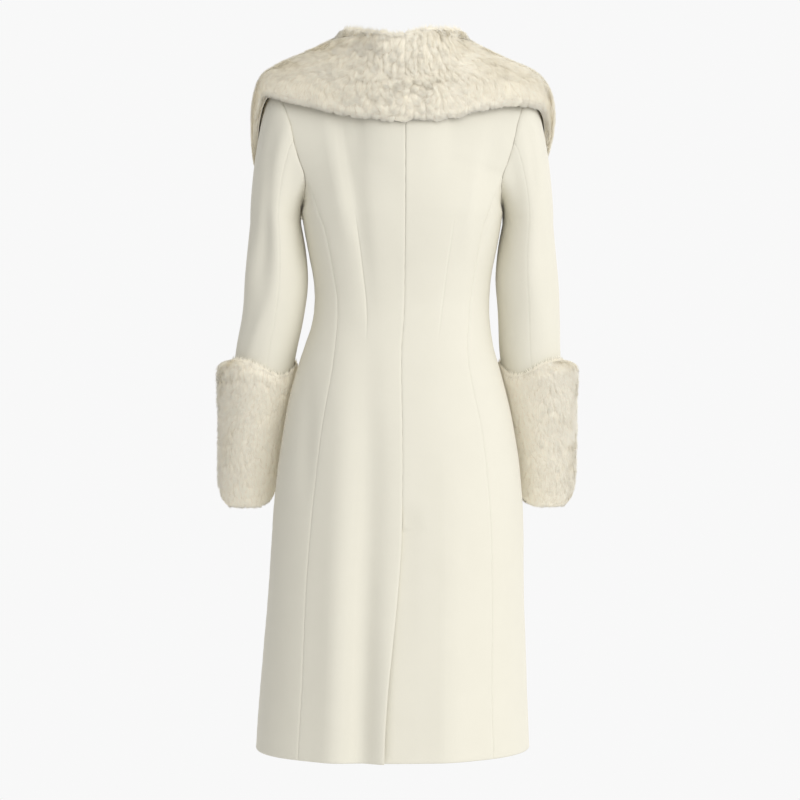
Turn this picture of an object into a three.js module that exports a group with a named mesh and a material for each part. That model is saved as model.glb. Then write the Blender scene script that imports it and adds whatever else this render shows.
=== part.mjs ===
// A fitted wool coat with a wide fur shawl collar and deep fur cuffs, hollow and in the pose it has when it
// is worn. Millimetres, +Z up. The coat faces -Y and the wearer's left is +X. The origin is the middle of the
// neck opening, level with the side neck points, where the wearer's shoulders carry the coat.
import * as THREE from "three";

// Cloth and seams
const wall = 3;
const seamGap = 0.3;
const hemZ = -1035;
const hipZ = -640;
const chestZ = -250;

// Front fastening: the right front lies over the left one
const frontLap = 30;
const lapStep = 2.2;
const lapBlend = [32, 52];
const lapRise = [252, 296];
const breakZ = -335;
const buttonHeights = [-382, -472, -562];
const buttonRadius = 12;
const buttonRise = 6.5;
const buttonGap = 0.8;

// Back vent: the left back lies over an underlap of the right back
const ventTopZ = -705;
const ventSwing = 18;
const ventUnderlap = 46;
const ventStep = 4.2;
const ventBlend = [5, 45];
const underlapBlend = [6, 34];
const ventLift = 7;
const ventLiftReach = [14, 58];

// Sleeve: its upper arm and wrist, and how far its head swells out under the arm and over the shoulder
const bicepZ = -262;
const sleeveEndZ = -656;
const headSwell = [11, 45];
const headOverrun = 8;

// Fur: the pile's reach over the skin side, in full and at its edges
const collarPile = 24;
const collarEdgePile = 8;
const collarLift = 1.6;
const cuffTopZ = -462;
const cuffDipZ = -486;
const cuffBottomZ = -680;
const cuffInnerRise = 20;
const cuffEdgePile = 4;
const cuffRounds = [0.075, 0.2];
const cuffLift = 1.1;
const cuffBodyGap = 2.5;

// Mesh steps
const backColumns = 7;
const frontColumns = 8;

const point = (x, y, z) => new THREE.Vector3(x, y, z);
const radians = THREE.MathUtils.degToRad;
const smooth = (value, low, high) => THREE.MathUtils.smoothstep(value, low, high);
const mix = THREE.MathUtils.lerp;

function steps(from, to, count) {
  return Array.from({ length: count + 1 }, (_, i) => mix(from, to, i / count));
}

// A table of sizes: its first column is the place along the piece, and read(place) gives every other column
// there, on a smooth curve through the rows.
function tableOf(columns, rows) {
  const slope = (i, c) => {
    const before = rows[Math.max(i - 1, 0)];
    const after = rows[Math.min(i + 1, rows.length - 1)];
    return (after[c] - before[c]) / (after[0] - before[0]);
  };
  return (place) => {
    const at = THREE.MathUtils.clamp(place, rows[0][0], rows.at(-1)[0]);
    const i = Math.min(rows.findLastIndex((row) => row[0] <= at), rows.length - 2);
    const span = rows[i + 1][0] - rows[i][0];
    const t = (at - rows[i][0]) / span;
    const read = {};
    columns.forEach((name, c) => {
      const start = rows[i][c];
      const end = rows[i + 1][c];
      read[name] =
        start * (1 + 2 * t) * (1 - t) ** 2 + end * (3 - 2 * t) * t ** 2 +
        span * (slope(i, c) * t * (1 - t) ** 2 - slope(i + 1, c) * (1 - t) * t ** 2);
    });
    return read;
  };
}

// The body's level sections from hem to chest. corner is the exponent of the rounded outline, sway its shift
// to the wearer's left, and the seams are where the shaped seams of back and front lie, measured across from
// the middle.
const sections = tableOf(
  ["z", "width", "back", "front", "corner", "sway", "backSeam", "frontSeam"],
  [
    [-1035, 202, 152, 150, 2.1, 14, 140, 128],
    [-930, 196, 148, 145, 2.1, 12, 136, 124],
    [-810, 189, 143, 138, 2.15, 9, 134, 118],
    [-700, 185, 139, 132, 2.2, 6, 129, 112],
    [-622, 178.5, 136, 127, 2.25, 5, 122, 106],
    [-565, 170, 131, 122, 2.3, 5, 115, 100],
    [-522, 162, 123, 118, 2.3, 5.5, 107, 95],
    [-479, 150.5, 110, 112, 2.3, 5.5, 99, 88],
    [-443, 139.5, 98, 106, 2.3, 4.5, 95.5, 84],
    [-408, 131.5, 90.5, 101, 2.3, 1.5, 95.5, 82],
    [-376, 129, 88, 99, 2.3, 0, 97, 82],
    [-344, 131, 92, 104, 2.35, 0, 102, 86],
    [-310, 137, 100, 115, 2.45, 0, 108, 92],
    [-278, 143, 107, 126, 2.55, 0, 115, 98],
    [-250, 147.5, 111.5, 131, 2.65, 0, 125, 106],
  ],
);

// The sleeve's level sections: its middle across and front to back, and half its width and depth.
const sleeveSections = tableOf(
  ["z", "across", "deep", "width", "depth"],
  [
    [-672, 218, -50, 30, 35],
    [-600, 214, -38, 32, 38],
    [-536, 206.5, -27, 37, 41.5],
    [-470, 198.5, -15, 44, 45],
    [-434, 194, -9, 45.5, 47],
    [-390, 189, -4, 46, 50],
    [-344, 185.5, 0, 46.5, 52.5],
    [-300, 185, 1, 42.5, 55],
    [-262, 186.5, 2, 37.5, 58],
  ],
);

// Soft folds of the back. Each runs from its top to its bottom, measured across from the centre back, and
// falls off over its spread. A negative depth is a trough. side is 1 for the wearer's left, -1 for the right.
const foldColumns = ["side", "topX", "topZ", "bottomX", "bottomZ", "spread", "depth"];
const folds = [
  [1, 102, -60, 62, -330, 11, -3.2],
  [1, 118, -70, 84, -300, 10, 2.4],
  [1, 78, -100, 50, -420, 12, -3.4],
  [1, 47, -400, 50, -1450, 20, -9],
  [1, 86, -420, 96, -1450, 20, 6],
  [1, 132, -470, 140, -680, 12, -3],
  [-1, 132, -100, 108, -310, 12, -3],
  [-1, 112, -130, 84, -330, 10, 1.8],
  [-1, 70, -520, 84, -1450, 26, 3.5],
  [-1, 34, -640, 36, -1450, 18, -2.5],
].map((row) => Object.fromEntries(foldColumns.map((name, i) => [name, row[i]])));

// Where the seams meet: the neck points and the top of each shaped seam
const neckBack = point(0, 66, -18);
const neckSide = point(72, 6, 2);
const backSeamTop = [point(133.5, 70, -223)];
const frontSeamTop = [point(120, -97, -223), point(134, -84, -201)];
const centreBack = [point(0, 114, -192), point(0, 109.5, -126), point(0, 94, -67), neckBack];
const neckline = [
  point(30, -121.5, -235),
  point(52, -100, -165),
  point(66, -62, -85),
  point(73, -22, -22),
  neckSide,
];

// The armhole, round from the shoulder's end by the back and the underarm to the front, and the way each
// point faces round the sleeve in degrees: 0 is outward, 90 to the back, 180 to the body, 270 to the front.
const armhole = [
  [188, 0, -55, 0],
  [184, 26, -67, 24],
  [177, 47, -86, 48],
  [167, 60, -116, 73],
  [159.5, 65, -149, 96],
  [152, 64.5, -174, 115],
  [144, 62, -197, 132],
  [143.5, 48, -217, 149],
  [145.5, 26, -231, 165],
  [149, 0, -236, 180],
  [145.5, -24, -232, 195],
  [143, -46, -220, 211],
  [143, -62, -200, 228],
  [146, -68, -178, 245],
  [150, -68, -155, 262],
  [156, -64, -130, 280],
  [166, -54, -97, 300],
  [177, -37, -74, 320],
  [184, -18, -62, 340],
].map(([x, y, z, turn]) => ({ at: point(x, y, z), turn: radians(turn) }));
const backNotch = 6;
const underarm = 9;
const frontNotch = 13;
const sleeveBackSeam = 4;
const sleeveFrontSeam = 14;
const armholePart = (from, to) => armhole.slice(from, to + 1).map((hole) => hole.at);
const shoulderEnd = armhole[0].at;

// A point along a smooth line through the points, by its share of the length
function lineThrough(points) {
  const curve = new THREE.CatmullRomCurve3(points, false, "centripetal");
  return (t) => curve.getPointAt(THREE.MathUtils.clamp(t, 0, 1));
}

// A point of a level section. angle runs from 0 at centre back by 90 degrees at the side to 180 in front.
function bodyPoint(z, angle) {
  const s = sections(z);
  const power = 2 / s.corner;
  const across = Math.sign(Math.sin(angle)) * Math.abs(Math.sin(angle)) ** power;
  const deep = Math.abs(Math.cos(angle)) ** power;
  return point(s.width * across, Math.cos(angle) > 0 ? s.back * deep : -s.front * deep, z);
}

function backAngle(z, x) {
  const s = sections(z);
  return Math.sign(x) * Math.asin(Math.min(Math.abs(x) / s.width, 1) ** (s.corner / 2));
}

const frontAngle = (z, x) => Math.PI - backAngle(z, x);
const sideAngle = () => Math.PI / 2;
const backSeamAngle = (z) => backAngle(z, sections(z).backSeam);
const frontSeamAngle = (z) => frontAngle(z, sections(z).frontSeam);

// How far the front edge lies past the middle: straight below the break, and along the neckline above it
function frontEdge(z) {
  const rise = Math.max(z - breakZ, 0);
  return -frontLap + rise * 0.66 - 0.0002 * rise ** 2;
}

// The vent's two edges below its top, measured from the centre back on each panel's own side
const ventOpen = (z) => smooth(-z, -ventTopZ, -hemZ);
const ventEdge = {
  1: (z) => ventSwing * ventOpen(z),
  "-1": (z) => (z < ventTopZ - 1 ? -ventUnderlap : 0),
};

function foldDepth(side, x, z) {
  return folds.reduce((sum, fold) => {
    const along = (fold.topZ - z) / (fold.topZ - fold.bottomZ);
    if (fold.side !== side || along <= 0 || along >= 1) return sum;
    const away = (x - mix(fold.topX, fold.bottomX, along)) / fold.spread;
    return sum + fold.depth * Math.sin(Math.PI * along) * Math.exp(-away * away);
  }, 0);
}

// 1 within the nearer of two distances, falling softly to 0 at the farther one
const nearTo = (distance, [near, far]) => 1 - smooth(distance, near, far);

// How far a panel's face stands out from the plain body: its folds, the laps of front edge and vent
function standOut(side, p) {
  if (p.y < 0) return -side * lapStep * nearTo(p.x, lapBlend) * smooth(-p.z, ...lapRise);
  const fade = smooth(p.y, 0, 30);
  const vent = nearTo(p.z - ventTopZ, ventBlend);
  const under = side < 0 ? -ventStep * vent * nearTo(p.x, underlapBlend) : 0;
  const lift = side > 0 ? ventLift * ventOpen(p.z) * nearTo(p.x, ventLiftReach) : 0;
  const fold = p.x < 0 ? foldDepth(-side, -p.x, p.z) : foldDepth(side, p.x, p.z);
  return fold * fade + under + lift;
}

// Level rows of a panel from the hem to the chest, each from one edge angle to the other
function levelRows(heights, columns, from, to) {
  return heights.map((z) => steps(from(z), to(z), columns).map((angle) => bodyPoint(z, angle)));
}

// The share of its whole length at which each point of a line of points lies
function sharesOf(points) {
  const lengths = points.map((p, i) => (i ? p.distanceTo(points[i - 1]) : 0));
  const whole = lengths.reduce((sum, length) => sum + length, 0);
  let passed = 0;
  return lengths.map((length) => (passed += length) / whole);
}

// A smooth curve from start to end with the given directions there
function bend(start, leave, end, arrive, t) {
  return point(0, 0, 0)
    .addScaledVector(start, (1 + 2 * t) * (1 - t) ** 2)
    .addScaledVector(leave, t * (1 - t) ** 2)
    .addScaledVector(end, t * t * (3 - 2 * t))
    .addScaledVector(arrive, -t * t * (1 - t));
}

// The way the cloth leaves the chest upwards, leaning out a little on every side
const leanOut = (p) => point((0.1 * p.x) / 147, p.y > 0 ? 0.12 : -0.1, 1).normalize();

// Rows above the chest: each column rises smoothly from the chest row to the panel's top edge, and the rows
// are then carried onto the panel's two side edges.
function risingRows(chestRow, top, left, right, arrive) {
  const last = chestRow.length - 1;
  const shares = sharesOf(left.length > right.length ? left : right);
  const sampled = (edge) => (edge.length === shares.length ? edge : shares.map(lineThrough(edge)));
  const [leftEdge, rightEdge] = [sampled(left), sampled(right)];
  const column = (i, v) => {
    const reach = chestRow[i].distanceTo(top[i]);
    const rise = leanOut(chestRow[i]).multiplyScalar(reach);
    return bend(chestRow[i], rise, top[i], arrive(i / last).multiplyScalar(reach), v);
  };
  return shares.slice(1).map((v, k) => {
    const leftShift = leftEdge[k + 1].clone().sub(column(0, v));
    const rightShift = rightEdge[k + 1].clone().sub(column(last, v));
    return chestRow.map((_, i) =>
      column(i, v).addScaledVector(leftShift, 1 - i / last).addScaledVector(rightShift, i / last));
  });
}

// Moves one edge of a grid of rows inwards, for half a seam gap
function pullEdge(rows, edge, distance) {
  const toward = (p, q) => p.addScaledVector(q.clone().sub(p).normalize(), distance);
  const last = rows.length - 1;
  if (edge === "first") rows.forEach((row) => toward(row[0], row[1]));
  if (edge === "last") rows.forEach((row) => toward(row.at(-1), row.at(-2)));
  if (edge === "top") rows[last].forEach((p, i) => toward(p, rows[last - 1][i]));
  if (edge === "bottom") rows[0].forEach((p, i) => toward(p, rows[1][i]));
}

// The outward normals of a grid whose rows run up and whose columns run round from back to front
function gridNormals(rows) {
  const held = (i, count) => THREE.MathUtils.clamp(i, 0, count - 1);
  const near = (i, j) => rows[held(i, rows.length)][held(j, rows[0].length)];
  return rows.map((row, i) => row.map((_, j) => {
    const up = near(i + 1, j).clone().sub(near(i - 1, j));
    const along = near(i, j + 1).clone().sub(near(i, j - 1));
    return up.cross(along).normalize();
  }));
}

// The same for rings that close round
function ringNormals(rings) {
  const last = rings[0].length;
  return rings.map((ring, i) => ring.map((_, j) => {
    const up = rings[Math.min(i + 1, rings.length - 1)][j].clone().sub(rings[Math.max(i - 1, 0)][j]);
    const along = ring[(j + 1) % last].clone().sub(ring[(j + last - 1) % last]);
    return up.cross(along).normalize();
  }));
}

// A closed solid between two grids of the same shape. wrap closes the columns into a tube.
function solidBetween(outer, inner, wrap = false) {
  const rowCount = outer.length;
  const columnCount = outer[0].length;
  const positions = [...outer.flat(), ...inner.flat()].flatMap((p) => [p.x, p.y, p.z]);
  const index = [];
  const outside = (i, j) => i * columnCount + (j % columnCount);
  const inside = (i, j) => rowCount * columnCount + outside(i, j);
  const quad = (a, b, c, d) => index.push(a, b, c, a, c, d);
  const lastColumn = wrap ? columnCount : columnCount - 1;
  const top = rowCount - 1;
  for (let i = 0; i < rowCount - 1; i++) {
    for (let j = 0; j < lastColumn; j++) {
      quad(outside(i, j), outside(i + 1, j), outside(i + 1, j + 1), outside(i, j + 1));
      quad(inside(i, j), inside(i, j + 1), inside(i + 1, j + 1), inside(i + 1, j));
    }
    if (!wrap) {
      const j = lastColumn;
      quad(outside(i, 0), inside(i, 0), inside(i + 1, 0), outside(i + 1, 0));
      quad(outside(i, j), outside(i + 1, j), inside(i + 1, j), inside(i, j));
    }
  }
  for (let j = 0; j < lastColumn; j++) {
    quad(outside(0, j), outside(0, j + 1), inside(0, j + 1), inside(0, j));
    quad(outside(top, j), inside(top, j), inside(top, j + 1), outside(top, j + 1));
  }
  const geometry = new THREE.BufferGeometry();
  geometry.setAttribute("position", new THREE.Float32BufferAttribute(positions, 3));
  geometry.setIndex(index);
  return geometry;
}

// Takes a panel made on the wearer's left to its own side of the coat, sway included
function placeOnSide(rows, side) {
  return rows.map((row) => {
    const placed = row.map((p) => point(side * p.x + sections(p.z).sway, p.y, p.z));
    return side > 0 ? placed : placed.reverse();
  });
}

const lowerHeights = [
  ...steps(hemZ, ventTopZ - 22, 4),
  ventTopZ - 2,
  ...steps(ventTopZ + 14, hipZ, 1),
  ...steps(hipZ, chestZ, 12).slice(1),
];
const ontoShoulder = (sign, inward) => point(0, sign * 1.15, mix(0.75, 0, smooth(inward, 0, 0.5)));
const straightUp = () => point(0, 0, 1);
const neckColumns = 3;

// The four panels of one half of the body, without their seam gaps
function panelRows(name, side) {
  if (name === "back") {
    const middleAngle = (z) => backAngle(z, ventEdge[side](z));
    const lower = levelRows(lowerHeights, backColumns, middleAngle, backSeamAngle);
    const chest = lower.at(-1);
    const edge = [chest.at(-1), ...backSeamTop, ...armholePart(0, backNotch).reverse()];
    const neck = lineThrough([neckBack, point(36, 55, -12), point(62, 30, -2), neckSide]);
    const shoulder = (u) => neckSide.clone().lerp(shoulderEnd, u);
    const top = [
      ...steps(0, 1, neckColumns).slice(0, -1).map(neck),
      ...steps(0, 1, backColumns - neckColumns).map(shoulder),
    ];
    const middle = [chest[0], ...centreBack];
    return [...lower, ...risingRows(chest, top, middle, edge, (u) => ontoShoulder(-1, u))];
  }
  if (name === "sideBack") {
    const top = armholePart(backNotch, underarm);
    const lower = levelRows(lowerHeights, top.length - 1, backSeamAngle, sideAngle);
    const chest = lower.at(-1);
    const seam = [chest[0], ...backSeamTop, top[0]];
    return [...lower, ...risingRows(chest, top, seam, [chest.at(-1), top.at(-1)], straightUp)];
  }
  if (name === "sideFront") {
    const top = armholePart(underarm, frontNotch);
    const lower = levelRows(lowerHeights, top.length - 1, sideAngle, frontSeamAngle);
    const chest = lower.at(-1);
    const seam = [chest.at(-1), ...frontSeamTop, top.at(-1)];
    return [...lower, ...risingRows(chest, top, [chest[0], top[0]], seam, straightUp)];
  }
  const lower = levelRows(lowerHeights, frontColumns, frontSeamAngle, (z) => frontAngle(z, frontEdge(z)));
  const chest = lower.at(-1);
  const edge = [chest[0], ...frontSeamTop, ...armholePart(frontNotch, armhole.length - 1), shoulderEnd];
  const top = steps(0, 1, frontColumns).map((u) => shoulderEnd.clone().lerp(neckSide, u));
  const open = [chest.at(-1), ...neckline];
  return [...lower, ...risingRows(chest, top, edge, open, (u) => ontoShoulder(1, 1 - u / 2))];
}

// The way the cloth faces along the seams, the same for both panels that meet there. A point at the shoulder
// seam's height and no farther in than its neck end faces as the shoulder does.
const shoulderFacing = point(0.441, 0, 0.897);
const onShoulder = (p) => p.z > shoulderEnd.z - 1 && Math.abs(p.y) < 8 && p.x > neckSide.x - 1;

function seamNormal(p) {
  if (onShoulder(p)) return shoulderFacing.clone();
  const s = sections(p.z);
  const depth = p.y > 0 ? s.back : s.front;
  const across = (Math.abs(p.x) / s.width) ** (s.corner - 1) / s.width;
  const deep = (Math.abs(p.y) / depth) ** (s.corner - 1) / depth;
  return point(Math.sign(p.x) * across, Math.sign(p.y) * deep, 0).normalize();
}

// The way the sleeve's cloth leaves the armhole, and the way the cloth faces there, for panel and sleeve
function sleeveLeave(hole) {
  return point(0.92, 0.35 * Math.sin(hole.turn), -0.2 - 0.22 * Math.cos(hole.turn)).normalize();
}

function holeNormal(i) {
  const count = armhole.length;
  const along = armhole[(i + 1) % count].at.clone().sub(armhole[(i + count - 1) % count].at);
  return sleeveLeave(armhole[i]).cross(along).normalize();
}

// The points of the armhole where body and sleeve run on into each other, away from the underarm's fold
const flush = (i) => i < backNotch - 1 || i > frontNotch + 1;

// A panel's normals, with those of its seams shared with its neighbours
function panelNormals(name, rows) {
  const normals = gridNormals(rows);
  const last = rows[0].length - 1;
  const seamRows = { back: lowerHeights.length + 2, front: lowerHeights.length + 3 };
  const below = seamRows[name] ?? rows.length;
  const top = rows.length - 1;
  rows.forEach((row, i) => {
    const onSeam = i < below;
    if (name === "back") normals[i][0].setX(0).normalize();
    else if (onSeam) normals[i][0].copy(seamNormal(row[0]));
    if (name !== "front" && onSeam) normals[i][last].copy(seamNormal(row[last]));
  });
  if (name === "back") {
    for (let i = below; i < top; i++) if (flush(top - i)) normals[i][last].copy(holeNormal(top - i));
  }
  if (name === "front") {
    for (let i = below; i < top; i++) {
      const hole = frontNotch + 1 + i - below;
      if (flush(hole)) normals[i][0].copy(holeNormal(hole));
    }
  }
  if (name === "back" || name === "front") {
    rows[top].forEach((p, j) => { if (p.x > neckSide.x - 0.1) normals[top][j].copy(seamNormal(p)); });
  }
  return normals;
}

// A panel's outer face with its folds and laps, its gapped seams drawn in, on its own side of the coat
function panelFace(name, side) {
  const rows = panelRows(name, side);
  const flat = panelNormals(name, rows);
  rows.forEach((row, i) => row.forEach((p, j) => p.addScaledVector(flat[i][j], standOut(side, p))));
  const normals = panelNormals(name, rows);
  const inner = rows.map((row, i) => row.map((p, j) => p.clone().addScaledVector(normals[i][j], -wall)));
  for (const grid of [rows, inner]) {
    pullEdge(grid, "first", seamGap / 2);
    if (name !== "front") pullEdge(grid, "last", seamGap / 2);
    pullEdge(grid, "top", seamGap / 2);
  }
  return { outer: placeOnSide(rows, side), inner: placeOnSide(inner, side) };
}

// A point of the sleeve. turn is 0 on the outer side, 90 degrees at the back, 180 at the body, 270 in front.
function sleeveRing(z, turn) {
  const s = sleeveSections(z);
  return point(s.across + s.width * Math.cos(turn), s.deep + s.depth * Math.sin(turn), z);
}

// From the armhole the sleeve swells out over its head and turns down to the upper arm
function sleeveHead(hole, v) {
  const leave = sleeveLeave(hole);
  const start = hole.at.clone().addScaledVector(leave, seamGap);
  const drop = point(-0.03, -0.02, -1).multiplyScalar(start.z - bicepZ + headOverrun);
  const swell = leave.multiplyScalar(mix(...headSwell, (1 + Math.cos(hole.turn)) / 2));
  return bend(start, swell, sleeveRing(bicepZ, hole.turn), drop, v);
}

// Creases of the sleeve, by their turn and height. Their spread is in degrees of turn and in height.
const creases = [
  { turn: 62, z: -300, turnSpread: 16, zSpread: 60, depth: -2.6 },
  { turn: 92, z: -330, turnSpread: 15, zSpread: 80, depth: 2.2 },
  { turn: 40, z: -400, turnSpread: 18, zSpread: 50, depth: -2.2 },
  { turn: 300, z: -350, turnSpread: 18, zSpread: 40, depth: -3 },
  { turn: 255, z: -385, turnSpread: 16, zSpread: 30, depth: -2.4 },
];

function creaseDepth(turn, z) {
  const degrees = THREE.MathUtils.euclideanModulo(THREE.MathUtils.radToDeg(turn), 360);
  return creases.reduce((sum, crease) => {
    const around = (degrees - crease.turn) / crease.turnSpread;
    const down = (z - crease.z) / crease.zSpread;
    return sum + crease.depth * Math.exp(-around * around - down * down);
  }, 0);
}

const headShares = [0, 0.08, 0.18, 0.32, 0.5, 0.7, 0.86];
const armHeights = [bicepZ, -300, -332, -364, -396, -430, -470, -520, -570, -622, sleeveEndZ];

// The whole sleeve as rings from the wrist up to the armhole, with its inner side
function sleeveRings() {
  const around = [...armhole].reverse();
  const arm = [...armHeights].reverse().map((z) => around.map((hole) => sleeveRing(z, hole.turn)));
  const head = [...headShares].reverse().map((v) => around.map((hole) => sleeveHead(hole, v)));
  const rings = [...arm, ...head];
  const flat = ringNormals(rings);
  rings.forEach((ring, i) => ring.forEach((p, j) => {
    p.addScaledVector(flat[i][j], creaseDepth(around[j].turn, p.z));
  }));
  const normals = ringNormals(rings);
  around.forEach((hole, j) => {
    const i = armhole.indexOf(hole);
    if (flush(i)) normals.at(-1)[j].copy(i ? holeNormal(i) : shoulderFacing);
  });
  const inner = rings.map((ring, i) => ring.map((p, j) => p.clone().addScaledVector(normals[i][j], -wall)));
  return { outer: rings, inner };
}

// One panel of the sleeve, between two points of the armhole
function sleeveFace(from, to, side) {
  const rings = sleeveRings();
  const count = armhole.length;
  const columns = Array.from({ length: to - from + 1 }, (_, i) => (2 * count - 1 - to + i) % count);
  const part = (ring) => columns.map((j) => ring[j].clone());
  const [outer, inner] = [rings.outer.map(part), rings.inner.map(part)];
  for (const grid of [outer, inner]) {
    pullEdge(grid, "first", seamGap / 2);
    pullEdge(grid, "last", seamGap / 2);
  }
  return { outer: placeOnSide(outer, side), inner: placeOnSide(inner, side) };
}

// True where a point lies inside the body, let out all round by a margin
function withinBody(p, margin) {
  const s = sections(p.z);
  const deep = (p.y > 0 ? s.back : s.front) + margin;
  return (Math.abs(p.x) / (s.width + margin)) ** s.corner + (Math.abs(p.y) / deep) ** s.corner < 1;
}

// The cuff's pile: thick on the outer side and in front, pressed thin against the body
const cuffReach = tableOf(
  ["turn", "reach"],
  [[-90, 27], [0, 30], [60, 24], [105, 15], [150, 10], [195, 12], [235, 22], [270, 27], [360, 30]],
);
const cuffColumns = 22;
const cuffShares = [0, 0.012, 0.05, 0.12, 0.26, 0.42, 0.58, 0.74, 0.88, 0.955, 0.99, 1];

function cuffRing(share, turn, raised) {
  const degrees = THREE.MathUtils.radToDeg(turn);
  const dip = Math.exp(-(((degrees - 125) / 48) ** 2));
  const bottom = cuffBottomZ + cuffInnerRise * Math.exp(-(((degrees - 180) / 40) ** 2));
  const z = mix(mix(cuffTopZ, cuffDipZ, dip), bottom, share);
  const skin = sleeveRing(Math.max(z, sleeveEndZ), turn);
  const s = sleeveSections(Math.max(z, sleeveEndZ));
  const away = point((skin.x - s.across) / s.width, (skin.y - s.deep) / s.depth, 0).normalize();
  const high = Math.max(1 - share / cuffRounds[0], 0);
  const low = Math.max(1 - (1 - share) / cuffRounds[1], 0);
  const round = Math.sqrt((1 - high ** 2) * (1 - low ** 2));
  const fill = cuffEdgePile + (cuffReach(degrees).reach - cuffEdgePile) * round * (1 - 0.25 * share);
  const pressed = (out) => withinBody(skin.clone().addScaledVector(away, out), cuffBodyGap);
  let reach = raised ? fill : cuffLift;
  while (raised && reach > cuffEdgePile - 1 && pressed(reach)) reach -= 0.5;
  const placed = skin.addScaledVector(away, reach);
  placed.z = z;
  return placed;
}

function cuffFace(side, raised) {
  const turns = steps(2 * Math.PI, 0, cuffColumns).slice(0, -1);
  const rows = [...cuffShares].reverse().map((share) => turns.map((turn) => cuffRing(share, turn, raised)));
  return placeOnSide(rows, side);
}

// The shape that the collar lies on: the farthest reach of body and sleeves from a line up through the neck,
// by direction and height. A stiff pelt bridges the hollows between them, and turns under no faster than
// supportFall.
const neckAxisY = 10;
const supportTopZ = 20;
const supportBottomZ = -360;
const supportStepZ = 5;
const supportStepAngle = 3;
const supportFall = 1.5;
const bridgeRounds = 60;
const bridgeSpans = [1, 3, 7];
const supportDirections = 360 / supportStepAngle;
const supportLevels = (supportTopZ - supportBottomZ) / supportStepZ + 1;

function supportOf(faces) {
  const reach = Array.from({ length: supportDirections }, () => new Array(supportLevels).fill(0));
  const note = (p) => {
    const direction = THREE.MathUtils.radToDeg(Math.atan2(p.x, p.y - neckAxisY));
    const d = Math.floor(THREE.MathUtils.euclideanModulo(direction, 360) / supportStepAngle);
    const level = Math.floor((supportTopZ - p.z) / supportStepZ);
    if (level < 0 || level >= supportLevels - 1) return;
    const out = Math.hypot(p.x, p.y - neckAxisY);
    for (const a of [d % supportDirections, (d + 1) % supportDirections]) {
      for (const k of [level, level + 1]) reach[a][k] = Math.max(reach[a][k], out);
    }
  };
  const shares = steps(0, 1, 10);
  for (const rows of faces) {
    for (let i = 0; i < rows.length - 1; i++) {
      for (let j = 0; j < rows[i].length - 1; j++) {
        for (const u of shares) {
          const low = rows[i][j].clone().lerp(rows[i][j + 1], u);
          const high = rows[i + 1][j].clone().lerp(rows[i + 1][j + 1], u);
          if (high.z < supportBottomZ && low.z < supportBottomZ) continue;
          shares.forEach((v) => note(low.clone().lerp(high, v)));
        }
      }
    }
  }
  for (const levels of reach) {
    const lowest = levels.findIndex((r) => r > 0);
    levels.fill(levels[lowest], 0, lowest);
    for (let k = lowest + 1; k < levels.length; k++) {
      levels[k] = Math.max(levels[k], levels[k - 1] - supportFall);
    }
  }
  for (let round = 0; round < bridgeRounds; round++) {
    const before = reach.map((levels) => [...levels]);
    for (let d = 0; d < supportDirections; d++) {
      for (let k = 0; k < supportLevels; k++) {
        for (const span of bridgeSpans) {
          const left = before[(d + span) % supportDirections][k];
          const right = before[(d - span + supportDirections) % supportDirections][k];
          const chord = 2 * left * right * Math.cos(radians(span * supportStepAngle)) / (left + right);
          reach[d][k] = Math.max(reach[d][k], chord);
        }
      }
    }
  }
  return (direction, z) => {
    const d = THREE.MathUtils.euclideanModulo(direction, 360) / supportStepAngle;
    const k = THREE.MathUtils.clamp((supportTopZ - z) / supportStepZ, 0, supportLevels - 1.001);
    const d0 = Math.floor(d) % supportDirections;
    const d1 = (d0 + 1) % supportDirections;
    const k0 = Math.floor(k);
    const level = (a) => mix(reach[a][k0], reach[a][k0 + 1], k - k0);
    return mix(level(d0), level(d1), d - Math.floor(d));
  };
}

// The collar's stations from the centre back round to the front: direction and height of its neck edge and
// of its outer edge, and the share of the full pile there.
const collarColumns = ["place", "neckTurn", "neckZ", "outerTurn", "outerZ", "pile"];
const collarStations = {
  1: tableOf(collarColumns, [
    [0, 0, 5, 0, -124, 1],
    [1, 22, 8, 22, -121, 1],
    [2, 45, 14, 42, -115, 1],
    [3, 68, 21, 60, -104, 1],
    [4, 88, 23, 76, -92, 1],
    [5, 98, 18, 86, -80, 1],
    [6, 107, 1, 95, -126, 1],
    [7, 118, -22, 104, -188, 1],
    [8, 130, -58, 114, -221, 0.97],
    [9, 142, -104, 126, -247, 0.94],
    [10, 153, -155, 139, -272, 0.9],
    [11, 163, -212, 150, -298, 0.84],
    [12, 171.5, -256, 158, -318, 0.74],
    [13, 177, -284, 164, -332, 0.6],
  ]),
  "-1": tableOf(collarColumns, [
    [0, 0, 5, 0, -124, 1],
    [1, 22, 13, 22, -122, 1],
    [2, 45, 18, 42, -115, 1],
    [3, 68, 22, 60, -101, 1],
    [4, 88, 23, 76, -94, 1],
    [5, 98, 18, 88, -102, 1.12],
    [6, 107, 1, 97, -138, 1.34],
    [7, 118, -22, 105, -178, 1.34],
    [8, 130, -58, 114, -213, 1.15],
    [9, 142, -104, 126, -244, 0.94],
    [10, 153, -155, 139, -272, 0.9],
    [11, 163, -212, 152, -300, 0.86],
    [12, 173, -260, 164, -324, 0.78],
    [13, 184, -304, 177, -341, 0.66],
    [14, 193, -334, 190, -347, 0.5],
  ]),
};
const collarEnd = { 1: 13, "-1": 14 };
const shoulderThin = { 1: 0.2, "-1": 0.36 };
const collarStepsPerStation = 2;
const collarAcross = 9;

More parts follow.
